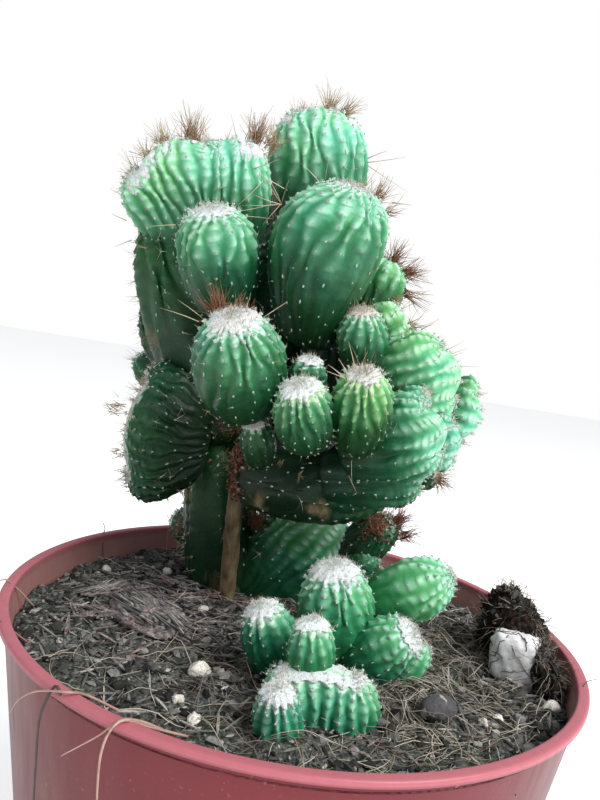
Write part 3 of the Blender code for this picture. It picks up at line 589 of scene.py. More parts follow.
root_points, thick, tones = zip(*RIM_ROOTS)
rosy, sockets, start = finish("living_roots", Roughness=0.6)
shade = start.carried("tone").ramp((0.0, (70, 56, 54)), (0.3, (92, 70, 66)), (0.7, (168, 134, 124)),
                                   (1.0, (196, 166, 154)))
blotch = start.noise(300, 4).span(0.35, 0.7) * 0.5
blotch.mix(shade, shade.times((170, 140, 130))).feed(sockets["Base Color"])
rough_up(start, sockets, start.noise(1500, 3), 0.08)
strands("roots_over_rim", np.stack([smooth_path(points, ROOT_STEPS) for points in root_points]),
        np.array(thick)[:, None] * np.linspace(0.7, 0.25, ROOT_STEPS), rosy, "soil", "soil", sides=5,
        tone=tones)


# Perlite grains and two stones. Perlite is glassy rock popped to a crumbly white grain. One stone by
# the front is dark with a pale flake of scale, and a pale one is lodged in the clod of peat.

# Each grain: its place, its width and its turn in degrees.
PERLITE = [
    (-19, -33.5, 4.6, 20), (-16.5, -52, 3.2, 70), (-21, -46.5, 2.6, 10), (-25, 1, 3.0, 45),
    (-59, 22, 3.4, 80), (-41, 27, 3.0, 15), (48.8, -30, 3.0, 60), (45, -33, 2.6, 120),
    (64, -21, 4.4, 30), (28, 34, 3.4, 0),
]
GRAIN_RINGS, GRAIN_SIDES = 18, 28
STONE_RINGS, STONE_SIDES = 28, 40
ROCK_RINGS, ROCK_SIDES = 44, 60
SETTLED = 0.35


def laid(middle, turn, along, across, level):
    """Points at distances along and across a piece that lies at a middle, turned by degrees."""
    c, s = math.cos(math.radians(turn)), math.sin(math.radians(turn))
    return np.stack([middle[0] + c * along - s * across, middle[1] + s * along + c * across, level], -1)


def box_bottom(node):
    """The height of the lowest point of a node of the frame."""
    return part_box(node)[0].z / MM


def stone_rings(node, middle, size, turn, seed, rings, sides, rough=0.12, sink=0.2, fine=0.0, blocky=2):
    """A stone: a ball stretched to a size, knocked out of round by five slow waves, with a flat base.

    fine adds quick random dents, and a blocky power above 2 swells the ball towards a block. The flat
    base rests where the node's own box has its lowest point.
    """
    draw = np.random.default_rng(seed)
    waves = draw.normal(0, 4, (5, 3))
    starts = draw.uniform(0, 2 * math.pi, 5)
    way = 0.5 * ball_rings(rings, sides)
    knock = 1 + rough * np.sin(way @ waves.T + starts).sum(axis=-1) / 2
    dents = mottle(9 * way[..., 0] + 5 * way[..., 2], 9 * way[..., 1], 0.8, seed + 60)
    dents = dents + 0.6 * mottle(9 * way[..., 1] + 7 * way[..., 2], 9 * way[..., 0], 0.4, seed + 61)
    swelled = way / (np.abs(2 * way) ** blocky).sum(axis=-1, keepdims=True) ** (1 / blocky)
    knocked = swelled * (knock + fine * dents)[..., None] * np.array(size)
    level = np.maximum(knocked[..., 2], (sink - 0.5) * size[2]) + (0.5 - sink) * size[2]
    return laid(middle, turn, knocked[..., 0], knocked[..., 1], box_bottom(node) + level)


chalk, sockets, start = finish("popped_grain", Roughness=0.9)
pores = start.noise(2200, 5)
stain = start.noise(500, 3).span(0.45, 0.7) * 0.55
white = stain.mix((226, 222, 214), (168, 154, 144))
white.times(pores.span(0.25, 0.5).mix((190, 184, 172), (255, 255, 255))).feed(sockets["Base Color"])
rough_up(start, sockets, pores, 0.3)
for number, (px, py, width, turn) in enumerate(PERLITE, start=1):
    rings = stone_rings(f"perlite_{number}", (px, py), (width, 0.8 * width, 0.75 * width), turn, number,
                        GRAIN_RINGS, GRAIN_SIDES, rough=0.16, fine=0.12)
    piece(f"perlite_grain_{number}", rings - np.array([0, 0, SETTLED]),
          tube_faces(1, GRAIN_RINGS, GRAIN_SIDES), chalk, "perlite", f"perlite_{number}")

slate, sockets, start = finish("dark_lump", Roughness=0.75)
scale = start.noise(260, 5).span(0.56, 0.6)
grey = start.noise(900, 4).mix((40, 40, 44), (92, 90, 94))
scale.mix(grey, (172, 166, 156)).feed(sockets["Base Color"])
rough_up(start, sockets, start.noise(1200, 5) + scale * 0.4, 0.3)
rings = stone_rings("dark_stone", (34.5, -33), (8.5, 7, 6), 20, 21, STONE_RINGS, STONE_SIDES, fine=0.03)
piece("dark_stone_lump", rings - np.array([0, 0, SETTLED]), tube_faces(1, STONE_RINGS, STONE_SIDES),
      slate, "dark_stone", "dark_stone")

marble, sockets, start = finish("pale_rock", Roughness=0.7)
smudge = start.noise(120, 4).span(0.4, 0.72) * 0.45
veins = start.noise(380, 5, (1, 1, 3)).span(0.58, 0.66) * 0.25
(smudge + veins).mix((222, 222, 224), (128, 126, 130)).feed(sockets["Base Color"])
rough_up(start, sockets, start.noise(700, 5), 0.2)
rings = stone_rings("pale_stone", (58.2, -5.2), (11.6, 7.6, 12.8), -15, 31, ROCK_RINGS, ROCK_SIDES,
                    rough=0.07, sink=0.1, fine=0.06, blocky=4.5)
piece("pale_stone_rock", rings, tube_faces(1, ROCK_RINGS, ROCK_SIDES), marble, "pale_stone", "pale_stone")

# Dark hair roots that cling to the stone: each runs from one place of its skin to another.
CLINGING = 30
CLINGING_STEPS = 10

draw = np.random.default_rng(32)
way = np.linspace(0, 1, CLINGING_STEPS)
across = draw.uniform(0, 60, (CLINGING, 1)) + draw.uniform(-16, 16, (CLINGING, 1)) * way
along = draw.uniform(12, 38, (CLINGING, 1)) + draw.uniform(-18, 18, (CLINGING, 1)) * way
across = np.round(across).astype(int) % ROCK_SIDES
along = np.clip(np.round(along), 9, 42).astype(int)
paths = rings[along, across]
paths = paths + 0.15 * unit(paths - rings.mean(axis=(0, 1)))
strands("pale_stone_hairs", paths, np.full((CLINGING, CLINGING_STEPS), 0.12), straw, "pale_stone",
        "pale_stone", tone=draw.uniform(0, 0.25, CLINGING))


# Bark. A thick chip of weathered pine bark lies in front of the stem, split into flakes along its
# grain, and a thin strip of the same lies to its left. Torn fibres and shreds of it lie all round.

# Each chip: its node, middle, size, turn and seed, its flakes, the room for its torn fibres, and how
# many are tried there. Each flake: its lift, its share of the size, its own seed, and how far it
# lies off the middle.
CHIPS = [
    ("bark_chip", (-37, -10), (28, 18, 3.2), -42, 3,
     [(-0.1, 1.0, 0, 0, 0), (0.22, 0.86, 1, -1.2, 0.8), (0.45, 0.62, 2, 1.6, -0.6)], (24, 14), 320),
    ("bark_flake", (-54, 5), (17, 5, 1.8), 58, 5, [(-0.15, 1.0, 0, 0, 0), (0.3, 0.8, 1, 1.0, 0.2)],
     (15, 4), 60),
]
BARK_KNOTS = 14
BARK_SIDES = 84
BARK_PROFILE = np.array([
    (AXIS_GAP, 0), (0.5, 0), (0.94, 0), (1, 0.3), (1, 0.55), (0.96, 0.9), (0.9, 1), (0.8, 1), (0.7, 1),
    (0.6, 1), (0.5, 1), (0.4, 1), (0.3, 1), (0.2, 1), (0.1, 1), (AXIS_GAP, 1)])
TORN_TAPER = (0.3, 1.0, 0.9, 0.3)
SHREDS = 300
SHRED_REACH = 62.0


def bark_rings(node, middle, size, turn, seed, lift, shrink, offset):
    """One flake of a chip: rings on a ragged oval that close in to its middle, with ridges along it.

    Its outline is the chip's own, made finer between its corners with small tears, and its upper
    side carries waves that run along the grain.
    """
    turns, _ = round_the_axis(BARK_SIDES)
    knots = 1 + np.random.default_rng(seed).uniform(-0.18, 0.12, BARK_KNOTS)
    place = turns / (2 * math.pi) * BARK_KNOTS
    ragged = np.interp(place, np.arange(BARK_KNOTS + 1), [*knots, knots[0]])
    ragged = ragged + 0.05 * mottle(30 * np.cos(turns), 30 * np.sin(turns), 2.1, seed + offset)
    out, up = BARK_PROFILE[:, :1], BARK_PROFILE[:, 1:]
    along = 0.5 * size[0] * shrink * out * (np.cos(turns) * ragged)
    across = 0.5 * size[1] * shrink * out * (np.sin(turns) * ragged)
    ridges = mottle(along * 0.22 + 40, across, 0.9, seed + 3 + offset)
    ridges = ridges + 0.6 * mottle(along * 0.5 + 9, across, 0.45, seed + 4 + offset)
    level = box_bottom(node) + lift * size[2] + up * size[2] * 0.5
    relief = 0.13 * size[2] * ridges + 0.1 * size[2] * np.sin(3 * turns)
    return laid(middle, turn, along, across, level + np.where(up > 0.5, relief, 0))


brown_bark, sockets, start = finish("weathered_bark", Roughness=0.85)
grain = start.noise(900, 5, (1, 0.6, 3))
old = start.noise(160, 4)
shade = (grain * 0.75 + old * 0.25).ramp((0.3, (48, 42, 42)), (0.48, (112, 104, 104)),
                                         (0.62, (158, 150, 150)), (0.78, (190, 184, 182)))
old.span(0.5, 0.7).mix(shade, shade.times((222, 190, 180))).feed(sockets["Base Color"])
rough_up(start, sockets, grain, 0.5)
for node, middle, size, turn, seed, flakes, _, _ in CHIPS:
    rings = [bark_rings(node, (middle[0] + dx, middle[1] + dy), size, turn, seed, lift, shrink, offset)
             for lift, shrink, offset, dx, dy in flakes]
    piece(node + "_layers", np.stack(rings), tube_faces(len(rings), len(BARK_PROFILE), BARK_SIDES),
          brown_bark, "bark", node, sharp=50)

# Torn fibres stand off the chips along their grain.
for node, middle, size, turn, _, _, room, many in CHIPS:
    draw = np.random.default_rng(many)
    along, across = draw.uniform(-0.5, 0.5, (2, many)) * np.array([[room[0]], [room[1]]])
    kept = (along / room[0]) ** 2 + (across / room[1]) ** 2 < 0.2
    along, across = along[kept], across[kept]
    count = len(along)
    level = box_bottom(node) + size[2] * draw.uniform(0.62, 1.0, count)
    heading = math.radians(turn) + draw.normal(0, 0.13, count)
    ways = np.stack([np.cos(heading), np.sin(heading), draw.normal(0.02, 0.06, count)], -1)
    slivers(node + "_fibres", laid(middle, turn, along, across, level), ways,
            draw.uniform(1.2, 5.5, count), draw.uniform(0.12, 0.42, count), TORN_TAPER, litter, "bark",
            node, tone=draw.uniform(0.55, 1, count))

# Shreds of the same bark have come off round the chips.
draw = np.random.default_rng(33)
x, y = draw.normal(-38, 12, SHREDS), draw.normal(-2, 14, SHREDS)
heading = draw.normal(-0.5, 0.6, SHREDS)
ways = np.stack([np.cos(heading), np.sin(heading), draw.normal(0.05, 0.15, SHREDS)], -1)
length = draw.uniform(1.5, 5.0, SHREDS)
middles = np.stack([x, y, soil_height(x, y) + 0.6 + 0.1 * length], -1)[np.hypot(x, y) < SHRED_REACH]
count = len(middles)
slivers("bark_shreds", middles, ways[:count], length[:count], draw.uniform(0.15, 0.6, count), TORN_TAPER,
        brown_bark, "bark", "bark_chip")


# The clod. A lump of old root ball leans on the rim at the right: near-black peat held together by
# hair roots, which bristle from it on every side and run down over the pale stone.
CLOD_HAIRS = 900
CLOD_HAIR_STEPS = 6
CLOD_CRUMBS = 700
HAIR_REACH = 76.5

turf, sockets, start = finish("old_peat", Roughness=1.0, Specular_IOR_Level=0.1)
matted = start.noise(900, 6)
matted.span(0.4, 0.75).mix((14, 10, 9), (62, 50, 44)).feed(sockets["Base Color"])
rough_up(start, sockets, matted, 0.8)
clod = np.stack([
    stone_rings("peat_clod", (60.4, 11), (18, 21, 21), 15, 41, ROCK_RINGS, ROCK_SIDES, 0.2, 0.15, 0.06),
    stone_rings("peat_clod", (64.9, -5.5), (8, 18, 11), 8, 42, ROCK_RINGS, ROCK_SIDES, 0.15, 0.15, 0.06),
]) - np.array([0, 0, SETTLED])
piece("clod_core", clod, tube_faces(2, ROCK_RINGS, ROCK_SIDES), turf, "peat", "peat_clod")

draw = np.random.default_rng(24)
surface = clod.reshape(-1, 3)
hearts = np.repeat(clod.mean(axis=(1, 2)), ROCK_RINGS * ROCK_SIDES, axis=0)
picked = draw.integers(0, len(surface), CLOD_CRUMBS)
away = unit(surface[picked] - hearts[picked])
size = draw.uniform(0.35, 1.1, CLOD_CRUMBS)
sizes = size[:, None] * draw.uniform(0.5, 1.2, (CLOD_CRUMBS, 3))
lumps("clod_crumbs", surface[picked] + 0.2 * away, frames_from(away, draw), sizes, 0.3, draw, litter,
      "peat", "peat_clod", tones=(0, 0.6))

picked = draw.integers(0, len(surface), CLOD_HAIRS)
picked = picked[surface[picked, 2] > soil_height(surface[picked, 0], surface[picked, 1]) + 1.5]
count = len(picked)
away = unit(surface[picked] - hearts[picked] + draw.normal(0, 3, (count, 3)))
drift = unit(np.cross(away, draw.normal(0, 1, (count, 3))))
length = draw.uniform(1.5, 5.5, count) + 5 * draw.uniform(0, 1, count) ** 5
way = np.linspace(0, 1, CLOD_HAIR_STEPS)[None, :, None]
paths = surface[picked][:, None] - 0.4 * away[:, None] + length[:, None, None] * (
    way * away[:, None] + 0.7 * way**2 * drift[:, None] - 0.25 * way**2 * np.array([0, 0, 1.0]))
reach = np.hypot(paths[..., 0], paths[..., 1])
paths[..., :2] *= np.minimum(1, HAIR_REACH / reach)[..., None]
widths = draw.uniform(0.05, 0.14, count)[:, None] * np.linspace(1, 0.4, CLOD_HAIR_STEPS)
strands("clod_hairs", paths, widths, straw, "peat", "peat_clod", tone=draw.uniform(0, 0.75, count))


# The plants. Every stem, head, fan and crest is living tissue: a waxy green skin over ribs that break
# into knobs near the growing tip and flatten towards the root, where the skin is old, dull and corky.
DOME_SHARE = 0.55
DOME_POWER = 0.9
RIB_MEAN = 0.52
ROOT_RIB = 0.35
RIBS_START = 0.2
RIBS_FULL = 0.7
CREST_FULL = 0.9
CREST_POWER = 0.8
ARCH_POWER = 1.5
UNEVEN = 0.35
ROOT_ROUND = 4.0
TIP_CLIMB = 0.985
FULL_RADIUS = 9.0
RIM_PLANE = np.array([0, 0, POT_HEIGHT])


class Head:
    """One head. root and tip are from the pot's axis and the rim's plane; radius is half the width, or
    half the thickness of a crest, whose growing line is 2 * crest long; the rest of its form follows
    ribs, their depth, the drop of a crest's ends, the share of the height where it is widest and the
    bow of its axis. tone and warm colour its skin; a low tone darkens it, partly for its years and
    partly as painted shade on heads that sit low, deep inside the plant or on its shaded left. smooth
    is how far the ribs have flattened below the tip, bare the share of its areoles that are gone, wool
    is how much wool its tip carries and felt how brown that is, and tuft counts the long spines of a
    length there, with a tint from pale straw, 0, to red-brown, 1. bristle is the share of its areoles
    that carry needles, and cork the bark."""

    usual = dict(rib=0.8, crest=0.0, crest_root=0.0, arch=0.0, wide=0.55, bow=(0, 0, 0), tone=0.8,
                 warm=0.0, smooth=0.35, bare=0.1, wool=0.3, felt=0.0, tuft=6, spine=4.0, tint=0.4,
                 bristle=0.0, cork=0.0)

    def __init__(self, name, root, tip, radius, root_radius, ribs, **unusual):
        vars(self).update(self.usual, name=name, radius=radius, root_radius=root_radius, ribs=ribs)
        vars(self).update(unusual)
        self.root, self.tip, self.bow = (np.array(way, float) for way in (root, tip, self.bow))
        self.lot = 1.7 * radius + ribs
        self.axis = unit(self.tip - self.root)
        self.length = np.linalg.norm(self.tip - self.root)
        towards = np.array([0.0, -1.0, 0.0])
        self.front = unit(towards - (towards @ self.axis) * self.axis)
        self.side = np.cross(self.front, self.axis)


OLD_STEM = {
    "crown": [
        Head("upper_stem", (-28, 24, 37), (-53, 11, 104), 12.5, 9, 13, rib=1.1, wide=0.6, bow=(-3, 0, 0),
             tone=0.7, warm=0.35, wool=0, tuft=8, spine=4, tint=0.3, bristle=0.35, cork=0.3),
        Head("crown_fan", (-38, 12, 88), (-54, 5, 118), 9, 6, 26, rib=1.1, crest=9.5, crest_root=2,
             arch=4, tone=1.15, smooth=0.1, wool=0, tuft=24, spine=6, tint=0.4, bristle=0.12),
        Head("crown_lobe", (-31, 11, 88), (-36, 4, 121), 6.8, 4.5, 15, rib=1.0, crest=3.5, crest_root=0.5,
             arch=1, tone=1.12, smooth=0.1, wool=0, tuft=10, spine=6, tint=0.4, bristle=0.06),
        Head("top_head", (-11, 26, 98), (-16, 18, 137), 12, 9, 20, rib=0.9, crest=3, crest_root=1, arch=1,
             tone=1.14, smooth=0.45, wool=0.5, felt=0.1, tuft=12, spine=4, tint=0.3, bristle=0.06),
        Head("great_head", (-8.5, 6, 69), (-2, -5, 111.3), 14.2, 6.5, 20, wide=0.67, bow=(-2.6, -1, 0),
             tone=0.96, smooth=0.1, wool=0.62, felt=0, tuft=12, spine=4, tint=0.4),
        Head("left_head", (-31, 4, 74), (-36, -10, 100), 10.6, 6, 18, rib=0.7, wide=0.6, tone=0.95,
             smooth=0.35, wool=0.85, tuft=4, spine=3, tint=0.2),
        Head("spiny_head", (7, 13, 78), (10.5, 14, 97), 7.2, 6, 12, tone=1.06, wool=0.3, felt=0.6,
             tuft=10, spine=6, tint=0.8, bristle=0.05),
    ],
    "middle": [
        Head("front_head", (-20, -12, 50), (-24, -28, 74), 11, 6, 20, wide=0.5, tone=0.88, smooth=0.1,
             wool=1, felt=0.2, tuft=12, spine=4, tint=0.5),
        Head("little_head", (-6, -10, 55), (-6, -14, 67), 4.8, 3, 9, rib=0.5, tone=0.85, wool=1.2, tuft=2,
             spine=2),
        Head("ball_left", (-3, -16, 45), (-7, -28, 61), 7.1, 4.5, 16, wide=0.5, tone=0.93, warm=0.4,
             smooth=0.1, wool=1.2, tuft=5, spine=3, tint=0.2),
        Head("ball_right", (9, -12, 46), (7, -26, 66), 7.3, 4.5, 15, rib=0.9, tone=0.98, warm=0.6,
             smooth=0.05, wool=0.95, felt=0.3, tuft=8, spine=6, tint=0.25),
        Head("low_bud", (-14, -8, 37), (-17, -16, 49), 4.4, 2.5, 9, rib=0.5, tone=0.6, wool=0.7, felt=0.5,
             tuft=5, spine=3),
        Head("side_ridge", (6, 12, 72), (17, 8, 82), 5.5, 4, 10, rib=0.9, crest=3, crest_root=2,
             tone=1.05, warm=0.2, wool=0.3, tuft=8, spine=6),
        Head("woolly_bud", (8, 2, 64), (5, -6, 81), 6.6, 4, 14, rib=0.6, tone=0.95, wool=0.9, felt=0.6,
             tuft=8, spine=4),
        Head("small_bud", (14, 8, 66), (17, 6, 77), 4.4, 3, 8, rib=0.5, tone=1, wool=0.4, tuft=12,
             spine=6, tint=0.4),
        Head("right_crest", (11, 2, 61), (32, -4, 70), 6.3, 5, 17, rib=1.0, crest=6.2, crest_root=3,
             arch=3, tone=1.3, warm=0.3, smooth=0.1, bare=0.35, wool=0.2, tuft=8, spine=5, tint=0.3),
        Head("far_crest", (28, 8, 59), (41, 4, 57), 5, 4, 16, crest=6, crest_root=3, arch=3, tone=1.1,
             warm=0.1, smooth=0.1, wool=0.2, tuft=10, spine=5, tint=0.3),
        Head("crest_knob", (17, -3, 55), (24, -9, 63), 4.2, 3.5, 8, rib=0.5, tone=1.05, wool=0.5,
             felt=0.4, tuft=6, spine=6, tint=0.3),
        Head("mid_crest", (5, -4, 44), (29, -15, 55.5), 6.4, 6, 15, rib=1.1, crest=5.2, crest_root=3,
             arch=3, tone=0.98, warm=0.1, smooth=0.15, bare=0.3, wool=0.2, tuft=6, spine=4, tint=0.3),
        Head("end_knobs", (20, 0, 49), (35, -5, 52), 4.6, 4, 12, rib=0.7, crest=4.5, crest_root=3, arch=2,
             tone=0.98, wool=0.2, tuft=6, spine=4, tint=0.3),
        Head("low_lobe", (1, 0, 36), (27, -9, 41.5), 6.6, 6.5, 12, rib=1.0, crest=1.5, crest_root=1,
             arch=1, tone=0.78, smooth=0.4, bare=0.3, wool=0.2, tuft=6, spine=4, tint=0.3),
        Head("brown_bud", (22, 2, 40), (31, -5, 42), 3.6, 3.2, 8, rib=0.5, tone=0.55, wool=0.8, felt=0.9,
             tuft=16, spine=6, tint=0.45),
    ],
    "lower": [
        Head("trunk", (-17, 30, -36), (-35, 24, 50), 11.5, 10, 11, rib=0.9, wide=0.35, tone=0.66,
             warm=0.4, smooth=0.7, bare=0.3, wool=0, tuft=0, bristle=0.6),
        Head("middle_stem", (-20, 22, 36), (-18, 28, 114), 12, 9, 10, rib=0.9, wide=0.6, tone=0.62,
             warm=0.3, smooth=0.6, bare=0.3, wool=0, tuft=0, bristle=0.5),
        Head("right_stem", (-14, 18, 26), (13, 16, 77), 9.5, 9, 10, rib=0.9, wide=0.6, tone=0.5,
             smooth=0.6, bare=0.3, wool=0, tuft=0, bristle=0.3),
        Head("inner_stem", (-8, 14, 34), (0, 10, 84), 7, 8, 9, wide=0.6, tone=0.42, smooth=0.6, bare=0.4,
             wool=0, tuft=0),
        Head("arm", (-22, 10, 31), (22, 0, 38), 10, 8, 13, rib=0.9, bow=(0, 0, -2.5), tone=0.5, warm=0.2,
             smooth=0.6, bare=0.4, wool=0, tuft=0, bristle=0.15),
        Head("left_crest", (-32, 14, 39), (-54, 4, 40), 9, 6, 28, rib=1.0, crest=12.3, crest_root=5,
             arch=3, tone=0.5, smooth=0, bare=0.25, wool=0.3, felt=0.6, tuft=26, spine=4, tint=0.4,
             bristle=0.2),
        Head("back_stem", (-42, 28, 50), (-56, 22, 78), 8.5, 7, 10, tone=0.55, warm=0.2, wool=0.2, tuft=8,
             bristle=0.2),
        Head("back_bud", (-45, 32, 49), (-61, 30, 58), 5.5, 4, 9, rib=0.6, tone=0.65, wool=0.4, tuft=5,
             bristle=0.1),
        Head("foot_bud", (-28, 38, 2), (-44, 40, 8), 6.6, 4, 11, rib=0.7, tone=0.6, smooth=0.1, wool=0.3,
             tuft=5),
        Head("cork_ridge", (-20, 15, -13), (-22, 9, 33), 2.4, 2.2, 5, rib=0.5, tone=0.9, smooth=0.9,
             wool=0, tuft=0, cork=1),
        Head("low_fan", (-14, 28, -14), (9, 20, 21), 8, 9, 24, rib=0.7, crest=9, crest_root=6, arch=3,
             tone=1, smooth=0.1, bare=0.6, wool=0, tuft=2, bristle=0.1),
        Head("low_fan_head", (10, 21, 6), (24, 16, 24), 6.5, 5, 12, rib=0.7, tone=0.68, wool=0.5,
             felt=0.9, tuft=8, spine=5, tint=0.8),
        Head("low_knob", (8, 19, 2), (21, 14, 13), 5.5, 4, 9, rib=0.6, tone=0.62, wool=0.2, tuft=4),
    ],
    "rear": [
        Head("rear_great", (-14, 26, 66), (-10, 50, 101), 13, 8, 17, wide=0.6, tone=0.9, wool=0.8,
             tuft=40, spine=8, tint=0.6),
        Head("rear_left", (-32, 26, 56), (-47, 46, 82), 11, 7, 15, rib=0.7, wide=0.6, tone=0.85, wool=0.8,
             tuft=20, spine=7, tint=0.4),
        Head("rear_right", (1, 24, 50), (18, 42, 75), 10, 7, 14, tone=0.9, wool=0.6, tuft=20, spine=6,
             tint=0.5),
        Head("rear_crest", (-22, 30, 30), (-28, 55, 48), 8.5, 7, 22, rib=0.9, crest=11, crest_root=5,
             arch=4, tone=0.85, wool=0.4, tuft=24, spine=5, bristle=0.1),
        Head("rear_ball", (-2, 28, 27), (8, 48, 43), 8.5, 6, 14, rib=0.7, tone=0.9, warm=0.3, wool=0.9,
             tuft=8),
        Head("rear_low", (-14, 32, 2), (-5, 50, 16), 8, 5.5, 13, rib=0.7, tone=0.85, wool=0.9, tuft=8),
        Head("rear_top", (-20, 30, 92), (-31, 41, 116), 9, 7, 14, tone=1, wool=0.6, tuft=24, spine=7),
    ],
}

OFFSETS = {
    "offsets": [
        Head("clump_root", (7, -52, -21), (14, -6, -15), 6.5, 5, 8, rib=0.4, tone=0.5, wool=0, tuft=0),
        Head("ball", (13, -11, -12), (8, -17, 18.5), 9.4, 7.5, 17, rib=0.7, tone=0.95, warm=0, smooth=0.5,
             wool=1.3, tuft=3, spine=2.5, tint=0),
        Head("egg", (15, -4, 2), (38, -8, 17.8), 8, 6, 13, rib=0.6, wide=0.6, tone=1.1, warm=0,
             smooth=0.7, bare=0.2, wool=0, tuft=4, spine=2.5, tint=0.2),
        Head("side_ball", (14, -16, -8), (28.6, -23, 7), 7.2, 6, 14, rib=0.7, tone=0.98, warm=0,
             smooth=0.6, wool=1.15, tuft=3, spine=2.5, tint=0.2),
        Head("side_knob", (24, -15, -13), (33, -17, 2), 4.6, 4, 8, rib=0.4, tone=1, warm=0.25, wool=0.1,
             tuft=2, spine=2),
        Head("left_ball", (1, -24, -11), (-8, -31, 10.3), 6.4, 4.2, 12, tone=0.84, warm=0.1, smooth=0.2,
             wool=1.15, tuft=6, spine=3, tint=0.2),
        Head("bead", (6, -39, -5), (4, -40, 12.8), 5.1, 2.6, 12, rib=0.5, tone=0.98, warm=0.25,
             smooth=0.3, wool=1.35, tuft=3, spine=2, tint=0),
        Head("front_crest", (9, -38, -20), (7.5, -43.5, 3.8), 6.4, 5.5, 22, rib=0.9, crest=6.5,
             crest_root=5, arch=1, tone=0.95, warm=0.1, smooth=0, wool=0.85, tuft=5, spine=2, tint=0),
        Head("crest_ball", (2, -44, -20), (-1, -53, 3.2), 5, 4, 12, rib=0.7, tone=0.97, warm=0.1,
             smooth=0, wool=1.3, tuft=3, spine=2, tint=0),
        Head("crest_end", (13, -38, -18), (16, -41.5, 1.6), 4.4, 4, 9, rib=0.5, tone=0.9, wool=0.5,
             tuft=3, spine=2, tint=0),
    ],
}

# Patches where the skin has turned to brown cork or died back: middle, from the rim's plane, and reach.
CORK_PATCHES = [
    ((20, -7, 31.6), 5), ((-23.6, 4, 36), 7), ((-21.5, 11, 22), 5), ((-21, 12, 8), 6), ((-22, 16, -5), 8),
    ((-14.4, -1, 25), 6), ((-38, 22, 20), 7), ((31, -9, 40.5), 4), ((-41.6, 34, 6), 5), ((-54, 4, 27), 4),
    ((2, -4, 28), 5), ((-30, 40, -4), 8), ((-20, 34, 40), 8), ((-8, 40, 24), 6), ((-50, 14, 66), 9),
    ((-58, 12, 88), 6),
]

# Patches of wool away from the tips: middle, from the rim's plane, and reach.
WOOL_PATCHES = [
    ((-58.5, 2, 106), 4.2), ((-56.5, 2, 111), 3.6), ((-52.5, 3, 114.5), 3.0), ((-30.5, 2, 118.6), 3.6),
    ((-33.5, 3, 122), 2.6), ((-46, 3, 119.5), 2.2), ((-24.5, 14, 131), 2.4), ((-6.5, 15, 132.5), 2.2),
]


def uneven(points):
    """A gentle swelling between -1 and 1 that changes over a centimetre or two, as grown flesh does."""
    x, y, z = np.moveaxis(points, -1, 0)
    first = np.sin(0.31 * x + 0.17 * z + 1.3) * np.sin(0.29 * y - 0.21 * z + 0.4)
    second = np.sin(0.53 * z + 0.37 * x - 0.8) * np.sin(0.47 * x - 0.41 * y + 2.1)
    return 0.6 * first + 0.4 * second


def come(value, start, room):
    """How much of the room past its start a value has covered, kept between 0 and 1."""
    return np.clip((value - start) / room, 0, 1)


def outline(head, share):
    """Where a share of the way round lies on the crest line, from -1 to 1, and on its two half turns.

    The outline is two half turns joined by straights as long as the crest line, walked evenly.
    """
    bend = math.pi * head.radius
    straight = 2 * head.crest
    walked = (share * 2 * (bend + straight) + bend / 2) % (2 * (bend + straight))
    on_second = walked >= bend + straight
    walked = np.where(on_second, walked - bend - straight, walked)
    sign = np.where(on_second, -1.0, 1.0)
    on_bend = walked < bend
    along = np.where(on_bend, 1.0, 1 - 2 * (walked - bend) / max(straight, 1e-6))
    angle = np.where(on_bend, -math.pi / 2 + math.pi * walked / bend, math.pi / 2)
    return sign * along, sign * np.cos(angle), sign * np.sin(angle)


def body_radius(head, rise):
    """The radius below the widest place: it swells from the root's by a quarter sine wave."""
    taper = np.sin(np.clip(rise / head.wide, 0, 1) * math.pi / 2)
    return head.root_radius + (head.radius - head.root_radius) * taper


def crest_half(head, rise):
    """Half the length of the crest line at a share of the height: it widens by a power of it."""
    return head.crest_root + (head.crest - head.crest_root) * come(rise, 0, CREST_FULL) ** CREST_POWER


def risen(head, climb):
    """How far up the axis a share of the way up the skin lies, and the radius there without ribs.

    Above the widest place, height and radius follow the sine and cosine of one quarter turn, as on a
    dome.
    """
    low = 1 - DOME_SHARE
    turn = come(climb, low, DOME_SHARE) * math.pi / 2
    rise = np.where(climb < low, climb / low * head.wide, head.wide + (1 - head.wide) * np.sin(turn))
    dome = head.radius * np.maximum(np.cos(turn), 0) ** DOME_POWER
    return rise, np.where(climb < low, body_radius(head, rise), dome)


def strayed(head, share, climb):
    """How far the ribs stray sideways, as a share of the way round, and how their depth varies: slow
    sine waves that close up round the head and drift on the way up."""
    turn = 2 * math.pi * share
    aside = 0.32 * np.sin(2 * turn + 6 * climb + head.lot) + 0.2 * np.sin(5 * turn - 11 * climb + head.lot)
    aside = aside + 0.12 * np.sin(9 * turn + 23 * climb)
    deep = 1 + 0.3 * np.sin(3 * turn - 8 * climb + head.lot) + 0.26 * np.sin(7 * turn + 15 * climb)
    return aside * np.clip((head.radius - 3) / 7, 0.35, 1) / head.ribs, deep


def rib_wave(head, share, climb):
    """A rib's height from 0 in the valley to 1 on its back: a soft wave, narrower near the tip."""
    return np.abs(np.cos(share * head.ribs * math.pi)) ** (1.7 - 0.6 * come(climb, 0.5, 0.5))


def radius_share(head, radius):
    """The radius somewhere on a head as a share of its widest."""
    return np.clip(radius / head.radius, 0, 1)


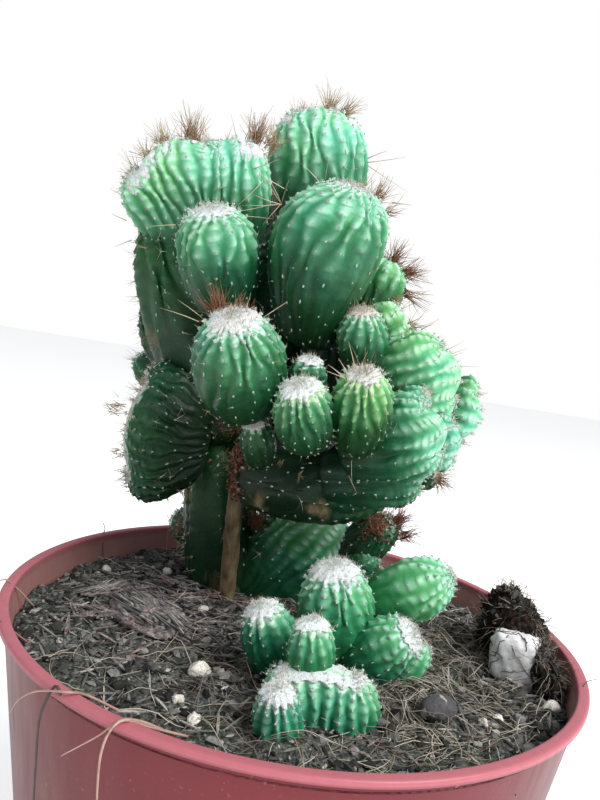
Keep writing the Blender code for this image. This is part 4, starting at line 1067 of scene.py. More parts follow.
def head_points(head, share, climb, swell=0.0):
    """Points on a head's skin for shares of the way round and up. Each is the axis's point, moved out
    by the radius and by the rib's height there, and along the crest. The lowest 4 mm are rounded off."""
    share, climb = np.broadcast_arrays(share, climb)
    rise, radius = risen(head, climb)
    grown_out = come(rise, RIBS_START, RIBS_FULL - RIBS_START)
    fade = radius_share(head, radius) * (ROOT_RIB + (1 - ROOT_RIB) * grown_out)
    aside, deep = strayed(head, share, climb)
    flattened = 1 - head.smooth * (1 - come(rise, 0.45, 0.5) ** 2)
    ridge = (rib_wave(head, share, climb) - RIB_MEAN) * deep * flattened
    along, across, outward = outline(head, share + aside)
    reach = radius + head.rib * ridge * fade + swell
    drop = head.arch * along**2 * rise**ARCH_POWER
    rounded_off = np.sqrt(1 - (1 - np.clip(rise * head.length / ROOT_ROUND, 0.001, 1)) ** 2)
    middle = head.root + rise[..., None] * (head.tip - head.root)
    points = middle + (4 * rise * (1 - rise))[..., None] * head.bow
    sideways = reach * across + crest_half(head, rise) * along
    points = points + (rounded_off * sideways)[..., None] * head.side
    points = points + (rounded_off * reach * outward)[..., None] * head.front - drop[..., None] * head.axis
    spread = (points - middle) / head.radius
    return points + spread * (UNEVEN * uneven(points) * fade)[..., None] + RIM_PLANE


def head_frames(head, share, climb):
    """Which way the skin faces and which way runs up it, from its slopes, the ribs' own left out."""
    share, climb = np.broadcast_arrays(share, np.minimum(climb, 0.975))
    wide = 0.5 / head.ribs
    around = head_points(head, share + wide, climb) - head_points(head, share - wide, climb)
    upward = head_points(head, share, climb + 0.008) - head_points(head, share, climb - 0.008)
    return unit(np.cross(around, upward)), unit(upward)


def areole_count(head):
    """How many areoles lie below each of 200 shares of the way up a rib, whose spacing shrinks
    towards the tip, as a table of shares and counts."""
    climbs = np.linspace(0.03, TIP_CLIMB, 200)
    line = head_points(head, round(0.25 * head.ribs) / head.ribs, climbs)
    steps = np.linalg.norm(np.diff(line, axis=0), axis=1)
    wide_spacing = np.clip(0.2 * head.radius + 1.5, 2.2, 4.4)
    spacing = wide_spacing * (1 - 0.68 * come(climbs, 0.5, 0.5))
    return climbs, np.concatenate([[0], np.cumsum(steps / spacing[1:])])


def stagger(rib):
    """How far up its spacing the areoles of a rib begin: half of it on every other rib, and a little
    more or less that repeats nowhere."""
    return 0.5 * (rib % 2) + 0.2 * np.sin(2.4 * rib * rib)


def knobs(head, share, climb):
    """The knob of flesh above each areole, from 0 to 1, times a power of the rib's own wave. Upwards
    from the areole it sinks by half a cosine wave, and below the areole it falls off steeply."""
    climbs, counts = areole_count(head)
    rib = np.round(share * head.ribs) % head.ribs
    phase = (np.interp(climb, climbs, counts) - stagger(rib) + 0.06) % 1
    turn = np.where(phase < 0.8, math.pi * phase / 0.8, math.pi * (1 + (phase - 0.8) / 0.2))
    return (0.5 + 0.5 * np.cos(turn)) * np.abs(np.cos(share * head.ribs * math.pi)) ** 2.2


def crinkled(points, size, seed):
    """Random relief between -1 and 1 all round a solid shape, from flat relief on two slanted planes."""
    x, y, z = np.moveaxis(points, -1, 0)
    first = mottle(x + 0.61 * z + 200, y + 0.37 * z + 200, size, seed)
    return 0.6 * first + 0.6 * mottle(z - 0.43 * x + 200, y - 0.53 * x + 200, size, seed + 1)


def knob_depth(head, climb):
    """How far the knobs stand out, in millimetres: more towards the tip, and less on a small head."""
    return (0.16 + 0.8 * come(climb, 0.4, 0.5)) * min(head.radius / FULL_RADIUS, 1)


def wool_edge(head):
    """How far up its skin a head's wool begins: lower where it carries more, and nowhere for a trace."""
    return 0.985 - 0.17 * head.wool if head.wool > 0.25 else 2


def wool_cover(head, share, climb, points):
    """How much wool lies on a head's skin, from none, 0, to a full sheet, 1.

    It covers the skin above an edge that wanders, with tongues down the ribs, and round patches.
    """
    ragged = 0.03 * crinkled(points, 1.6, 17) - 0.014 * np.cos(2 * math.pi * share * head.ribs)
    cover = come(climb - wool_edge(head), ragged, 0.035)
    for middle, reach in WOOL_PATCHES:
        away = np.linalg.norm(points - RIM_PLANE - np.array(middle), axis=-1)
        cover = np.maximum(cover, np.clip((1 - away / reach + 13 * ragged) / 0.3, 0, 1))
    return smooth_step(cover)


def grown(head):
    """The rings of a head's skin, and how far up, how high on a rib, how knobbly and how downy each
    point is. Rings stand closer towards the tip, where the knobs are small.
    """
    sides = (8 if head.radius > 5 else 6) * head.ribs
    rows = int(np.clip((head.length + 1.2 * head.radius) / (0.66 if head.radius > 6 else 0.55), 16, 96))
    share = (np.arange(sides) / sides)[None, :]
    climb = np.interp(np.linspace(0, 1, rows), [0, 0.12, 1], [0, 0.26, TIP_CLIMB])[:, None]
    rise, radius = risen(head, climb)
    knob = knobs(head, share, climb)
    depth = knob_depth(head, climb) * radius_share(head, radius) ** 0.5
    rings = head_points(head, share, climb)
    young = come(climb, 0.4, 0.5)
    crinkle = 0.16 * crinkled(rings, 2.6, 11) + (0.06 + 0.34 * young) * crinkled(rings, 1.2, 13)
    rings = head_points(head, share, climb, depth * (knob - 0.3) + crinkle)
    downy = wool_cover(head, share, climb + 0.05, rings) if head.wool > 0.25 else 0 * knob
    return rings, rise * np.ones_like(share), rib_wave(head, share, climb), knob, downy


def skins(heads):
    """The skins of several heads as one set of points and faces, with the numbers their finish reads.

    Corkiness falls off from the middle of each patch by a bell curve.
    """
    points, faces = [], []
    carried = {"growth": [], "ridge": [], "knob": [], "downy": [], "tone": [], "warm": [], "cork": []}
    shift = 0
    for head in heads:
        rings, growth, ridge, knob, downy = grown(head)
        faces += [part + shift for part in tube_faces(1, *rings.shape[:2])]
        points.append(rings.reshape(-1, 3))
        shift += len(points[-1])
        cork = np.full(rings.shape[:2], float(head.cork))
        for middle, reach in CORK_PATCHES:
            away = np.linalg.norm(rings - RIM_PLANE - np.array(middle), axis=-1)
            cork = np.maximum(cork, 0.8 * np.exp(-((away / reach) ** 2)))
        for key, values in zip(carried, (growth, ridge, knob, downy, head.tone, head.warm, cork)):
            carried[key].append(np.broadcast_to(values, rings.shape[:2]).ravel())
    return np.concatenate(points), faces, {key: np.concatenate(parts) for key, parts in carried.items()}


def skin_finish(name, *stops):
    """Waxy skin whose colour follows how old it is, with painted shade in it: dark at the root, where the
    low skin is also painted shaded, and pale at the tip, where ribs and knobs are frosted, partly with
    waxy bloom and partly with a painted highlight. The rib valleys are painted darker, as painted shade.
    It drifts between bluish and yellowish green, and turns to cork in patches."""
    made, sockets, start = finish(name, Specular_IOR_Level=0.3, Subsurface_Weight=0.12,
                                  Subsurface_Radius=(0.4, 1.0, 0.5), Subsurface_Scale=0.0012)
    growth, ridge, knob = start.carried("growth"), start.carried("ridge"), start.carried("knob")
    blotch, fine, drift = start.noise(110, 4), start.noise(700, 4), start.noise(42, 2)
    # How old the skin is, with painted shade mixed in: it is darker low on each head and on heads of low
    # tone, where shade falls.
    age_and_painted_shade = growth * 0.86 + start.carried("tone") * 0.95 - 0.84 + (blotch - 0.5) * 0.42 + (fine - 0.5) * 0.16
    green = age_and_painted_shade.ramp(*stops).times(drift.span(0.36, 0.64).mix((192, 248, 255), (240, 252, 205)))
    young = age_and_painted_shade.span(0.55, 1.0)
    bloom = growth.span(0.8, 1.0) * young * fine.span(0.35, 0.6)
    # Pale frosting on the backs of the ribs and on the knobs near the tip: partly waxy bloom, partly a
    # painted highlight where they catch the light. Skin under wool is paler too.
    frost_and_painted_highlight = young * (ridge**3.0 * 0.42 + knob**1.6 * 0.85) + bloom * 0.4
    frost_and_painted_highlight = frost_and_painted_highlight + start.carried("downy") * fine.span(0.3, 0.6)
    green = frost_and_painted_highlight.span(0.0, 1.1).mix(green, (188, 226, 208))
    # The rib valleys are painted darker: painted shade between the ribs.
    valley = (1 - ridge).span(0.45, 1.0) * 0.45
    green = valley.mix(green, green.times((150, 186, 160)))
    green = start.carried("warm").mix(green, green.times((255, 240, 160)))
    corky = (start.carried("cork") + (start.noise(420, 6, (1, 1, 0.35)) - 0.5) * 1.1).span(0.5, 0.85)
    streaks = start.noise(420, 4, (1, 1, 0.45))
    cork = streaks.ramp((0.3, (74, 62, 44)), (0.5, (106, 92, 68)), (0.72, (138, 124, 96)))
    speck = start.noise(2600, 2).span(0.66, 0.74) * 0.16
    speck.mix(corky.mix(green, cork), (176, 200, 172)).feed(sockets["Base Color"])
    (0.34 + blotch * 0.2 + corky * 0.4).feed(sockets["Roughness"])
    rough_up(start, sockets, start.noise(1300, 4) * 0.6 + blotch + corky * streaks * 3, 0.12)
    return made


# Colours from the root's to the tip's: the dark ones are old skin with painted shade in them.
old_skin = skin_finish("old_waxy_skin", (0.0, (14, 40, 20)), (0.25, (16, 58, 34)), (0.5, (32, 84, 56)),
                       (0.75, (58, 130, 92)), (1.0, (132, 200, 164)))
young_skin = skin_finish("young_waxy_skin", (0.0, (20, 52, 36)), (0.3, (28, 84, 60)),
                         (0.6, (46, 128, 96)), (1.0, (120, 198, 166)))
for group, heads in OLD_STEM.items():
    points, faces, carried = skins(heads)
    piece(f"old_stem_{group}", points, faces, old_skin, "old_flesh", "old_stem", **carried)
points, faces, carried = skins(OFFSETS["offsets"])
piece("offset_heads", points, faces, young_skin, "young_flesh", "offset_clump", **carried)


# Areoles, wool and spines. Each areole is a drop of white felt with a few short spines. At the tips
# the drops crowd together under a sheet of wool, and long brown spines stand out of it in tufts.
PUFFS = 3
AREOLE_HAIRS = 6
SHORT_SPINES = 2
NEEDLES = 4
HAIRS_PER_MM2 = 4
HAIR_RADIUS = 0.05
KNOB_SEAT = 0.62
SHEET_START = 0.6
SHEET_ROWS = 29
SHEET_DEPTH = 0.9

# Tufts of long spines. Each: where, which way, how many, their length, how far they lean apart, how
# wide the tuft is at its foot, and the tint.
TUFTS = [
    ((-12.9, 17, 135.8), (0.1, -0.1, 1), 74, 7.5, 0.36, 1.5, 0.36),
    ((-8.8, 17, 135.0), (0.6, -0.1, 0.8), 64, 7, 0.33, 1.6, 0.44),
    ((3.4, -3, 108.6), (0.5, -0.1, 0.85), 83, 6.6, 0.34, 1.6, 0.52),
    ((6.8, -2.5, 105.8), (0.85, -0.1, 0.5), 26, 6, 0.3, 1.6, 0.5),
    ((11.5, 12, 96.4), (0.4, -0.1, 0.9), 83, 7, 0.36, 1.8, 0.74),
    ((14.8, 12, 93.6), (0.9, -0.1, 0.25), 96, 7.5, 0.4, 2.0, 0.82),
    ((16.2, 12, 88.5), (0.9, -0.1, -0.35), 35, 8, 0.3, 1.6, 0.8),
    ((-30.2, 5, 121.8), (0.1, 0, 1), 90, 7.5, 0.4, 2.0, 0.5),
    ((-25.5, 5, 121.6), (0.1, 0, 1), 50, 6, 0.42, 2.4, 0.45),
    ((-47.0, 4.5, 118.8), (-0.2, 0, 1), 120, 9, 0.42, 2.8, 0.5),
    ((-54.3, 4.5, 116.8), (-0.5, 0, 0.9), 90, 6.5, 0.45, 2.2, 0.3),
    ((-58.0, 4, 113.0), (-0.7, 0, 0.75), 48, 5.5, 0.42, 1.3, 0.3),
    ((-61.5, 4, 106.5), (-0.95, -0.1, 0.35), 26, 4.5, 0.45, 2.0, 0.3),
    ((-28.4, -20, 73.6), (-0.25, -0.1, 1), 130, 7.5, 0.38, 2.2, 0.78),
    ((-24.0, -22, 73.8), (0.1, -0.2, 1), 90, 4.0, 0.5, 3.6, 0.72),
    ((2.3, -5, 79.6), (0.1, -0.2, 1), 32, 3, 0.5, 1.8, 0.4),
    ((13.5, 7, 85.4), (0.7, -0.2, 0.6), 22, 4, 0.5, 1.2, 0.35),
    ((18.8, 7, 79.6), (0.9, -0.2, 0.1), 22, 5, 0.5, 1.0, 0.4),
    ((31.0, -6, 41.0), (0.9, -0.3, -0.3), 42, 4.5, 0.5, 1.6, 0.6),
    ((25.5, 15, 24.4), (0.7, -0.2, 0.7), 90, 6, 0.45, 2.0, 0.85),
    ((27.5, 14, 20.5), (0.95, -0.2, 0.2), 64, 5.5, 0.42, 1.8, 0.9),
    ((37.2, 3, 62.6), (0.8, -0.2, 0.5), 8, 4, 0.5, 1.0, 0.3),
    ((18.3, -14, 59.0), (0.1, -0.9, 0.1), 7, 2.5, 0.5, 0.6, 0.2),
    ((-24.0, 0, 46.0), (-0.1, -1, 0.2), 60, 3.0, 0.6, 4.5, 0.72),
    ((-23.5, 0, 36.0), (-0.1, -1, 0.0), 40, 2.6, 0.6, 4.0, 0.6),
    ((-17.4, -4, 36.5), (0, -1, -0.3), 10, 2.2, 0.5, 0.8, 0.35),
    ((-10.0, -4, 38.4), (0, -1, -0.3), 9, 2.2, 0.5, 0.8, 0.35),
    ((-4.2, -5, 36.4), (0, -0.8, -0.6), 10, 2.6, 0.5, 0.8, 0.3),
    ((-55.6, 3, 33.0), (-0.9, -0.4, 0), 12, 2.6, 0.5, 1.4, 0.4),
    ((-57.0, 3, 45.0), (-0.9, -0.3, 0.2), 32, 3.2, 0.5, 2.6, 0.35),
    ((-15.4, 17, 16.5), (0.1, -0.1, 1), 100, 6.0, 0.35, 1.9, 0.76),
    ((18.5, 8.0, 23.9), (-0.1, -0.6, 0.8), 150, 2.6, 0.6, 4.4, 0.8),
]

# Single long spines that stand apart: where each starts and ends.
STRAYS = [
    ((0.4, 16, 124.3), (5, 15, 127.2)), ((0.3, 15, 122.8), (10.7, 14, 125.2)),
    ((0.3, 14, 121.8), (12.4, 13, 115.6)), ((0.2, 11, 114.7), (4.5, 9, 121.1)),
    ((-20, -2, 104.6), (-27.4, -5, 112.9)), ((-20, -4, 104.2), (-27.1, -7, 104.3)),
    ((-20, -5, 103.8), (-23.5, -9, 97.3)), ((-20, -4, 104.2), (-29.5, -7, 101.2)),
    ((-20, -2, 104.4), (-19.2, -6, 110.5)), ((-20, -2, 104.7), (-23.3, -6, 110.4)),
    ((-20.4, 0, 109.2), (-28.2, -3, 111.5)), ((-30.3, -3, 101.2), (-21.5, -4, 103.5)),
    ((-29.4, -4, 100), (-21, -5, 100.2)), ((-46, -5, 95), (-53.5, -7, 93.4)),
    ((-26.1, 0, 110), (-30.7, -3, 101.5)), ((-28.9, 1, 113.2), (-21.7, -1, 116.3)),
    ((-11.7, -1, 112.2), (-16.2, -3, 116)), ((-9.8, -2, 112.8), (-10, -3, 117.9)),
    ((-33.3, -21, 71.4), (-42.2, -23, 74)), ((-18.1, -23, 74.4), (-12.9, -25, 78.9)),
    ((-33.1, -20, 72.7), (-38.9, -21, 76.1)), ((-22.4, -22, 74.6), (-21.5, -23, 80)),
    ((8.4, -1, 109.5), (13.4, -2, 109)), ((7.2, -1, 107.9), (11.2, -2, 109.7)),
    ((6, -1, 111.4), (7.8, -2, 115.9)), ((-64, 6, 102.3), (-67.7, 5, 103.2)),
    ((-63, 8, 96.1), (-67, 7, 97.2)), ((-61.5, 10, 91.1), (-65.6, 9, 88.7)),
    ((26.9, -2, 70.9), (31.9, -3, 74.9)), ((28.3, -2, 70.4), (37.2, -3, 71)),
    ((29, -4, 68.7), (35, -5, 66.6)), ((26.7, -6, 62.5), (31.8, -8, 60.7)),
    ((18.3, -14, 59.2), (16.3, -17, 53.2)), ((18.3, -14, 59.2), (21.9, -17, 53.6)),
    ((8, -11, 44.5), (8.2, -14, 38.1)), ((8.1, -11, 39.1), (10.7, -13, 35.4)),
    ((5.3, -26, 64.2), (3.1, -28, 72.5)), ((4.5, -26, 63.6), (7.7, -28, 70.5)),
    ((3.2, -26, 63.4), (-1.1, -29, 66.9)), ((5.9, -26, 63.4), (11.4, -28, 66.1)),
    ((4.1, -26, 63.6), (1, -28, 68.6)), ((6.4, -26, 64), (9.4, -29, 68)),
    ((2.6, -26, 63.8), (-2.4, -28, 65)), ((21.9, 7, 79), (26.4, 6, 82.3)),
    ((17.2, 9, 86.6), (22.6, 8, 90.1)),
]


def buried(points, heads, depth=0.25):
    """Which points lie inside one of the heads, by more than a depth, or below the soil.

    In a head's own frame a point is as far from the crest line, shortened by its bow and drop, as it
    is from the axis, and it is inside where that is less than the head's radius at its height.
    """
    inside = points[:, 2] < soil_height(points[:, 0], points[:, 1])
    for head in heads:
        apart = points - RIM_PLANE - head.root
        rise = apart @ head.axis / head.length
        half = crest_half(head, rise)
        along = (apart @ head.side) / np.maximum(half + head.radius, 1e-6)
        rise = rise + head.arch * np.clip(along, -1, 1) ** 2 * np.clip(rise, 0, 1) ** ARCH_POWER / head.length
        held = np.clip(rise, 0, 1)
        apart = apart - (4 * held * (1 - held))[:, None] * head.bow
        away = np.hypot(np.maximum(np.abs(apart @ head.side) - half, 0), apart @ head.front)
        dome = head.radius * np.sqrt(1 - come(held, head.wide, 1 - head.wide) ** 2) ** DOME_POWER
        radius = np.where(held < head.wide, body_radius(head, held), dome)
        inside |= (rise > 0) & (rise < 1) & (away < radius - depth)
    return inside


def areoles(head, draw):
    """Shares round and up of the areoles that a head has kept, each a little off its even place."""
    climbs, counts = areole_count(head)
    ribs = np.arange(head.ribs)
    numbers = np.arange(0, math.ceil(counts[-1]) + 1)
    reached = numbers[None, :] + stagger(ribs)[:, None]
    rib = np.broadcast_to(ribs[:, None], reached.shape)
    real = (reached > 0.4) & (reached < counts[-1]) & (draw.uniform(0, 1, reached.shape) > head.bare)
    jitter = draw.normal(0, 0.06, real.sum())
    return rib[real] / head.ribs, np.interp(reached[real] + jitter, counts, climbs)


def wool_sheet(head):
    """The rings of a sheet of wool: the head's own form, raised where wool covers it and sunk
    elsewhere, and the cover at each point."""
    sides = 6 * head.ribs
    share = (np.arange(sides) / sides)[None, :]
    climb = np.linspace(SHEET_START, TIP_CLIMB, SHEET_ROWS)[:, None]
    flat = head_points(head, share, climb)
    cover = wool_cover(head, share, climb, flat)
    thick = 0.6 + 0.42 * crinkled(flat, 1.9, 19) + 0.26 * crinkled(flat, 0.8, 23)
    return head_points(head, share, climb, (thick + SHEET_DEPTH) * cover - SHEET_DEPTH), cover


def spines(starts, directions, lengths, widths, draw, bend, steps):
    """Paths and widths of spines: straight out from their start, with a slight bend to one side."""
    way = np.linspace(0, 1, steps)[None, :, None]
    aside = unit(np.cross(directions, draw.normal(0, 1, directions.shape)))
    paths = starts[:, None] - 0.3 * directions[:, None] + lengths[:, None, None] * (
        way * directions[:, None] + bend * way**2 * aside[:, None])
    return paths, widths[:, None] * np.linspace(1, 0.22, steps) ** 0.8


def tints(mean, spread, draw, count=None):
    """Random tints about a mean, kept between pale straw, 0, and red-brown, 1."""
    return np.clip(draw.normal(mean, spread, count), 0, 1)


# The felt glows faintly white: painted light that lifts the shade between its puffs.
felt, sockets, start = finish("areole_felt_painted_glow", Roughness=1.0, Specular_IOR_Level=0.1, Sheen_Weight=0.2,
                             Emission_Color=(0.9, 1, 1, 1), Emission_Strength=0.09)
fluff = start.noise(3600, 5)
white = fluff.span(0.25, 0.7).mix((168, 184, 184), (248, 251, 251))
worn = start.carried("fresh").mix(white.times((150, 196, 168)), white)
dingy = start.noise(300, 4).span(0.45, 0.7) * 0.5
worn = dingy.mix(worn, worn.times((226, 222, 214)))
start.carried("warm").mix(worn, worn.times((236, 202, 184))).feed(sockets["Base Color"])
rough_up(start, sockets, fluff, 0.45)

thorn, sockets, start = finish("spine_horn", Roughness=0.5)
shade = start.carried("tint").ramp((0.0, (224, 216, 192)), (0.3, (176, 156, 120)), (0.55, (140, 108, 78)),
                                   (0.8, (132, 76, 50)), (1.0, (112, 62, 50)))
(start.carried("reach") ** 2.0 * 0.4).mix(shade, (104, 82, 62)).feed(sockets["Base Color"])
rough_up(start, sockets, start.noise(3000, 2), 0.03)


def grow_areoles(head, others, draw, pads, hair, short, long):
    """Adds a head's areoles: a pad of felt each, puffs and hairs near the tip, and their spines.

    Each list takes whole arrays: for pads, centres, frames, half sizes, freshness and warmth; for hair,
    starts, directions, lengths and warmth; for spines, also widths, and tints in warmth's place.
    """
    share, climb = areoles(head, draw)
    spot = head_points(head, share, climb)
    facing, upward = head_frames(head, share, climb)
    shown = ~buried(spot, others)
    share, climb, spot, facing, upward = (a[shown] for a in (share, climb, spot, facing, upward))
    count = len(spot)
    small = 0.65 + 0.35 * min(head.radius / FULL_RADIUS, 1)
    young = come(climb, 0.5, 0.48)
    fluffy = come(climb, wool_edge(head) - 0.12, 0.12) if head.wool > 0.25 else 0.5 * young**2
    spot = spot + KNOB_SEAT * knob_depth(head, climb)[:, None] * facing + draw.normal(0, 0.1, spot.shape)
    bared = wool_cover(head, share, climb, spot) < 0.6
    frames = np.stack([np.cross(upward, facing), upward, facing], 1)
    wide = small * draw.uniform(0.15, 0.28, count) * (1 + 0.3 * fluffy)
    long_way = draw.uniform(1.3, 2.6, count)
    sizes = wide[:, None] * np.stack([np.ones(count), long_way, np.full(count, 0.75)], -1)
    fresh = np.clip(0.12 + 0.85 * fluffy + draw.normal(0, 0.2, count), 0, 1)
    warm = np.full(count, head.felt)
    pads.append([part[bared] for part in (spot, frames, sizes, fresh, warm)])
    for _ in range(PUFFS):
        picked = bared & (draw.uniform(0, 1, count) < fluffy)
        size = small * draw.uniform(0.14, 0.3, picked.sum())
        place = spot[picked] + draw.normal(0, 0.24, (len(size), 3)) + 0.1 * facing[picked]
        sizes = size[:, None] * draw.uniform(0.7, 1.3, (len(size), 3))
        pads.append((place, frames_from(facing[picked], draw), sizes, np.full(len(size), 0.8), warm[picked]))
    chosen = np.repeat(np.flatnonzero(fluffy > 0.2), AREOLE_HAIRS)
    hair.append((spot[chosen] + draw.normal(0, 0.22, (len(chosen), 3)),
                 unit(facing[chosen] + draw.normal(0, 0.8, (len(chosen), 3))),
                 small * draw.uniform(0.5, 1.1, len(chosen)), np.full(len(chosen), head.felt)))
    chosen = np.repeat(np.arange(count), SHORT_SPINES)
    lean = unit(facing[chosen] * 0.75 + draw.normal(0, 0.55, (len(chosen), 3)) + 0.25 * head.axis)
    reach = (0.6 + 1.1 * draw.uniform(0, 1, len(chosen)) ** 2) * (1 + 0.3 * young[chosen])
    short.append((spot[chosen], lean, reach, np.full(len(chosen), 0.05),
                  tints(0.08 + 0.3 * head.tint * young[chosen], 0.1, draw)))
    if head.bristle:
        chosen = np.repeat(np.flatnonzero(draw.uniform(0, 1, count) < head.bristle), NEEDLES)
        lean = unit(facing[chosen] + draw.normal(0, 0.6, (len(chosen), 3)))
        long.append((spot[chosen], lean, draw.uniform(1.5, 4.5, len(chosen)),
                     draw.uniform(0.06, 0.09, len(chosen)), tints(0.25, 0.15, draw, len(chosen))))


def grow_wool(head, others, draw, sheets, faces, hair):
    """Adds a head's sheet of wool, if it has one, and the hairs that stand out of it."""
    rings, cover = wool_sheet(head)
    if cover.max() == 0:
        return
    shift = sum(len(points) for points, _ in sheets)
    faces += [part + shift for part in tube_faces(1, *rings.shape[:2])]
    sheets.append((rings.reshape(-1, 3), np.full(cover.size, head.felt)))
    many = int(HAIRS_PER_MM2 * 2.2 * (math.pi * head.radius + 4 * head.crest) * head.radius * 0.5)
    around, up = draw.uniform(0, 1, many), draw.uniform(SHEET_START, TIP_CLIMB, many)
    place = head_points(head, around, up, 0.45)
    kept = (wool_cover(head, around, up, place) > 0.3) & ~buried(place, others)
    place, around, up = place[kept], around[kept], up[kept]
    outward, _ = head_frames(head, around, up)
    hair.append((place, unit(outward + draw.normal(0, 0.8, place.shape)),
                 draw.uniform(0.4, 1.0, len(place)), np.full(len(place), head.felt)))


def grow_tip_spines(head, others, draw, long):
    """Adds the long spines round a head's tip, on the backs of the ribs of a crest."""
    around = draw.uniform(0, 1, head.tuft)
    if head.crest > 2:
        around = np.round(around * head.ribs) / head.ribs
    up = draw.uniform(0.88, TIP_CLIMB, head.tuft)
    place = head_points(head, around, up)
    outward, _ = head_frames(head, around, up)
    lean = unit(0.7 * outward + 0.6 * head.axis + draw.normal(0, 0.33, (head.tuft, 3)))
    clear = ~buried(place + 2 * lean, others)
    place, lean = place[clear], lean[clear]
    long.append((place, lean, head.spine * draw.uniform(0.4, 1.2, len(place)),
                 draw.uniform(0.07, 0.11, len(place)), tints(head.tint, 0.15, draw, len(place))))


def grow_tufts(tufts, strays, draw, long):
    """Adds the tufts of long spines and the single ones that stand apart."""
    for foot, way, many, reach, apart, wide, tint in tufts:
        foot = np.array(foot) + RIM_PLANE + draw.normal(0, 0.42 * wide, (many, 3))
        lean = unit(unit(np.array(way, float)) + draw.normal(0, apart, (many, 3)))
        long.append((foot - 0.8 * lean, lean, 0.8 + reach * draw.uniform(0.25, 1.1, many),
                     draw.uniform(0.09, 0.14, many), tints(tint, 0.12, draw, many)))
    starts, ends = np.moveaxis(np.array(strays, float), 1, 0)
    reach = np.linalg.norm(ends - starts, axis=1)
    long.append((starts + RIM_PLANE, (ends - starts) / reach[:, None], reach, np.full(len(reach), 0.14),
                 draw.uniform(0.1, 0.4, len(reach))))


def joined(groups):
    """Each kind of value that several groups hold, end to end."""
    return (np.concatenate(parts) for parts in zip(*groups))


def dress(label, heads, node, slot, seed, tufts=(), strays=()):
    """Gives a plant its areoles, wool and spines, leaving out those that other heads cover."""
    draw = np.random.default_rng(seed)
    pads, sheets, faces, hair, short, long = [], [], [], [], [], []
    for head in heads:
        if head.cork == 1:
            continue
        others = [other for other in heads if other is not head]
        grow_areoles(head, others, draw, pads, hair, short, long)
        grow_wool(head, others, draw, sheets, faces, hair)
        if head.tuft:
            grow_tip_spines(head, others, draw, long)
    if tufts:
        grow_tufts(tufts, strays, draw, long)
    centres, frames, sizes, fresh, warm = joined(pads)
    lumps(label + "_areoles", centres, frames, sizes, 0.2, draw, felt, slot, node, sharp=180,
          fresh=fresh, warm=warm)
    points, warm = joined(sheets)
    piece(label + "_wool", points, faces, felt, slot, node, fresh=np.ones(len(points)), warm=warm)
    starts, directions, lengths, warm = joined(hair)
    paths, widths = spines(starts, directions, lengths, np.full(len(starts), HAIR_RADIUS), draw, 0.0, 2)
    strands(label + "_wool_hairs", paths, widths, felt, slot, node, fresh=np.ones(len(warm)), warm=warm)
    for name, group, steps, bend in (("_short_spines", short, 2, 0.0), ("_long_spines", long, 4, 0.1)):
        starts, directions, lengths, widths, tint = joined(group)
        paths, widths = spines(starts, directions, lengths, widths, draw, bend, steps)
        strands(label + name, paths, widths, thorn, slot, node, tint=tint,
                reach=np.broadcast_to(np.linspace(0, 1, steps), widths.shape))


old_heads = [head for heads in OLD_STEM.values() for head in heads]
dress("old_stem", old_heads, "old_stem", "old_flesh", 31, TUFTS, STRAYS)
dress("offset", OFFSETS["offsets"], "offset_clump", "young_flesh", 32)

# Dead flesh and old felt, dried to red-brown flakes in the forks of the stem. Each spot: its middle,
# from the rim's plane, its reach, and how many flakes it counts. A dozen are tried for each of
# these, and the ones that lie on the skin stay.
FLAKE_SPOTS = [((-23, 4, 40), 5, 260), ((-23, 6, 33), 4, 200), ((-24, 1, 47), 6, 320), ((-25, 2, 28), 4, 120),
               ((21, 12, 25), 5, 400), ((24, -4, 33), 3, 60), ((-15, 19, 21), 3.2, 170)]
TRIED = 12

rust, sockets, start = finish("dead_flakes", Roughness=0.9)
dry = start.noise(900, 5)
dry.ramp((0.35, (42, 26, 18)), (0.55, (96, 58, 40)), (0.75, (160, 120, 94))).feed(sockets["Base Color"])
rough_up(start, sockets, dry, 0.3)
draw = np.random.default_rng(35)
flakes = np.concatenate([np.array(middle) + draw.normal(0, 0.6 * reach, (TRIED * many, 3))
                         for middle, reach, many in FLAKE_SPOTS]) + RIM_PLANE
flakes = flakes[~buried(flakes, old_heads, 0.1) & buried(flakes, old_heads, -0.7)]
sizes = draw.uniform(0.15, 0.5, (len(flakes), 1)) * draw.uniform(0.3, 1.8, (len(flakes), 3))
lumps("dead_flakes_in_forks", flakes, frames_from(unit(draw.normal(0, 1, flakes.shape)), draw), sizes,
      0.35, draw, rust, "old_flesh", "old_stem")


# The floor, the lights and the camera. A plain pale floor, a broad soft lamp high on the right, a
# weaker one on the left and light from all round, and the photograph's view from just above the rim,
# all in metres.
FLOOR_HALF = 5.0
EYE = (0, -0.185, 0.1892)
YAW, PITCH, ROLL = -2.32, 4.29, 8.93
LENS = 31.5
SENSOR = 36

floor_mesh = bpy.data.meshes.new("floor")
floor_mesh.from_pydata([(-FLOOR_HALF, -FLOOR_HALF, 0), (FLOOR_HALF, -FLOOR_HALF, 0),
                        (FLOOR_HALF, FLOOR_HALF, 0), (-FLOOR_HALF, FLOOR_HALF, 0)], [], [(0, 1, 2, 3)])
paper, sockets, start = finish("pale_floor", Roughness=0.9, Emission_Color=(1, 1, 1, 1),
                               Emission_Strength=0.46)
start.noise(3, 3).mix((246, 246, 245), (252, 252, 252)).feed(sockets["Base Color"])
floor_mesh.materials.append(paper)
floor = placed("floor", floor_mesh)


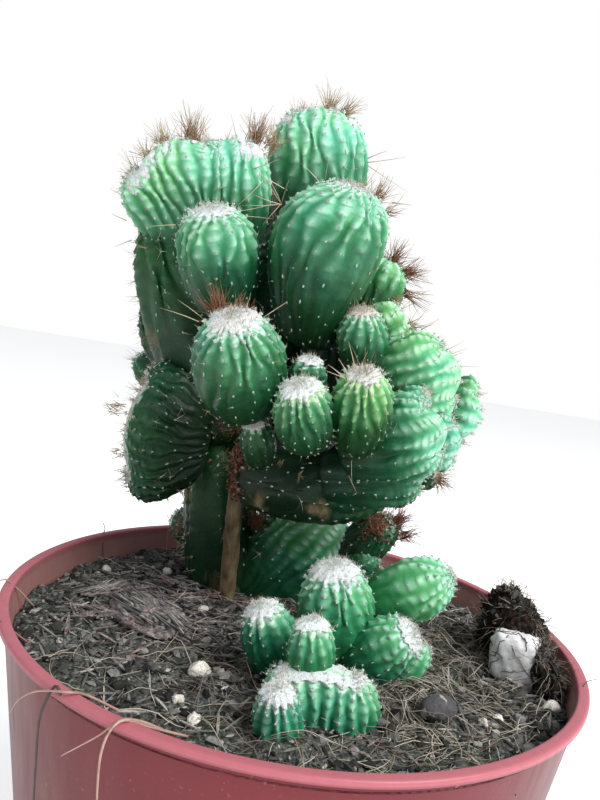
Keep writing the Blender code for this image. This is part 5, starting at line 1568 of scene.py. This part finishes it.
def lamp(name, place, aim, size, power, shade):
    """A soft square lamp at a place, turned to an aim."""
    light = bpy.data.lights.new(name, "AREA")
    light.size = size
    light.energy = power
    light.color = shade
    made = placed(name, light)
    made.location = place
    way = np.array(aim, float) - np.array(place, float)
    made.rotation_euler = (math.atan2(math.hypot(way[0], way[1]), -way[2]), 0.0,
                           math.atan2(way[1], way[0]) - math.pi / 2)


lamp("key", (0.85, -0.6, 1.1), (0, 0, 0.17), 0.75, 27, (1.0, 0.985, 0.96))
lamp("fill", (-1.1, -0.8, 0.7), (0, 0, 0.15), 1.0, 0.8, (0.94, 0.97, 1.0))

# The light from all round is soft and a little blue, and what the camera sees behind is plain white.
world = bpy.data.worlds.new("studio")
world.use_nodes = True
nodes, links = world.node_tree.nodes, world.node_tree.links
around = nodes["Background"]
around.inputs["Color"].default_value = (0.93, 0.96, 1.0, 1)
around.inputs["Strength"].default_value = 0.5
backdrop = nodes.new("ShaderNodeBackground")
backdrop.inputs["Color"].default_value = (1.0, 1.0, 1.0, 1)
backdrop.inputs["Strength"].default_value = 1.0
ray = nodes.new("ShaderNodeLightPath")
either = nodes.new("ShaderNodeMixShader")
links.new(ray.outputs["Is Camera Ray"], either.inputs[0])
links.new(around.outputs[0], either.inputs[1])
links.new(backdrop.outputs[0], either.inputs[2])
links.new(either.outputs[0], nodes["World Output"].inputs[0])
bpy.context.scene.world = world
bpy.context.scene.view_settings.view_transform = "Standard"

yaw, pitch, roll = (math.radians(angle) for angle in (YAW, PITCH, ROLL))
ahead = np.array([math.sin(yaw) * math.cos(pitch), math.cos(yaw) * math.cos(pitch), -math.sin(pitch)])
right = np.array([math.cos(yaw), -math.sin(yaw), 0])
above = np.cross(right, ahead)
across = math.cos(roll) * right + math.sin(roll) * above
upwards = -math.sin(roll) * right + math.cos(roll) * above
lens = bpy.data.cameras.new("view")
lens.lens = LENS
lens.sensor_width = SENSOR
lens.clip_start = 0.01
camera = placed("view", lens)
columns = np.eye(4)
columns[:3] = np.column_stack([across, upwards, -ahead, EYE])
camera.matrix_world = Matrix(columns.tolist())
bpy.context.scene.camera = camera
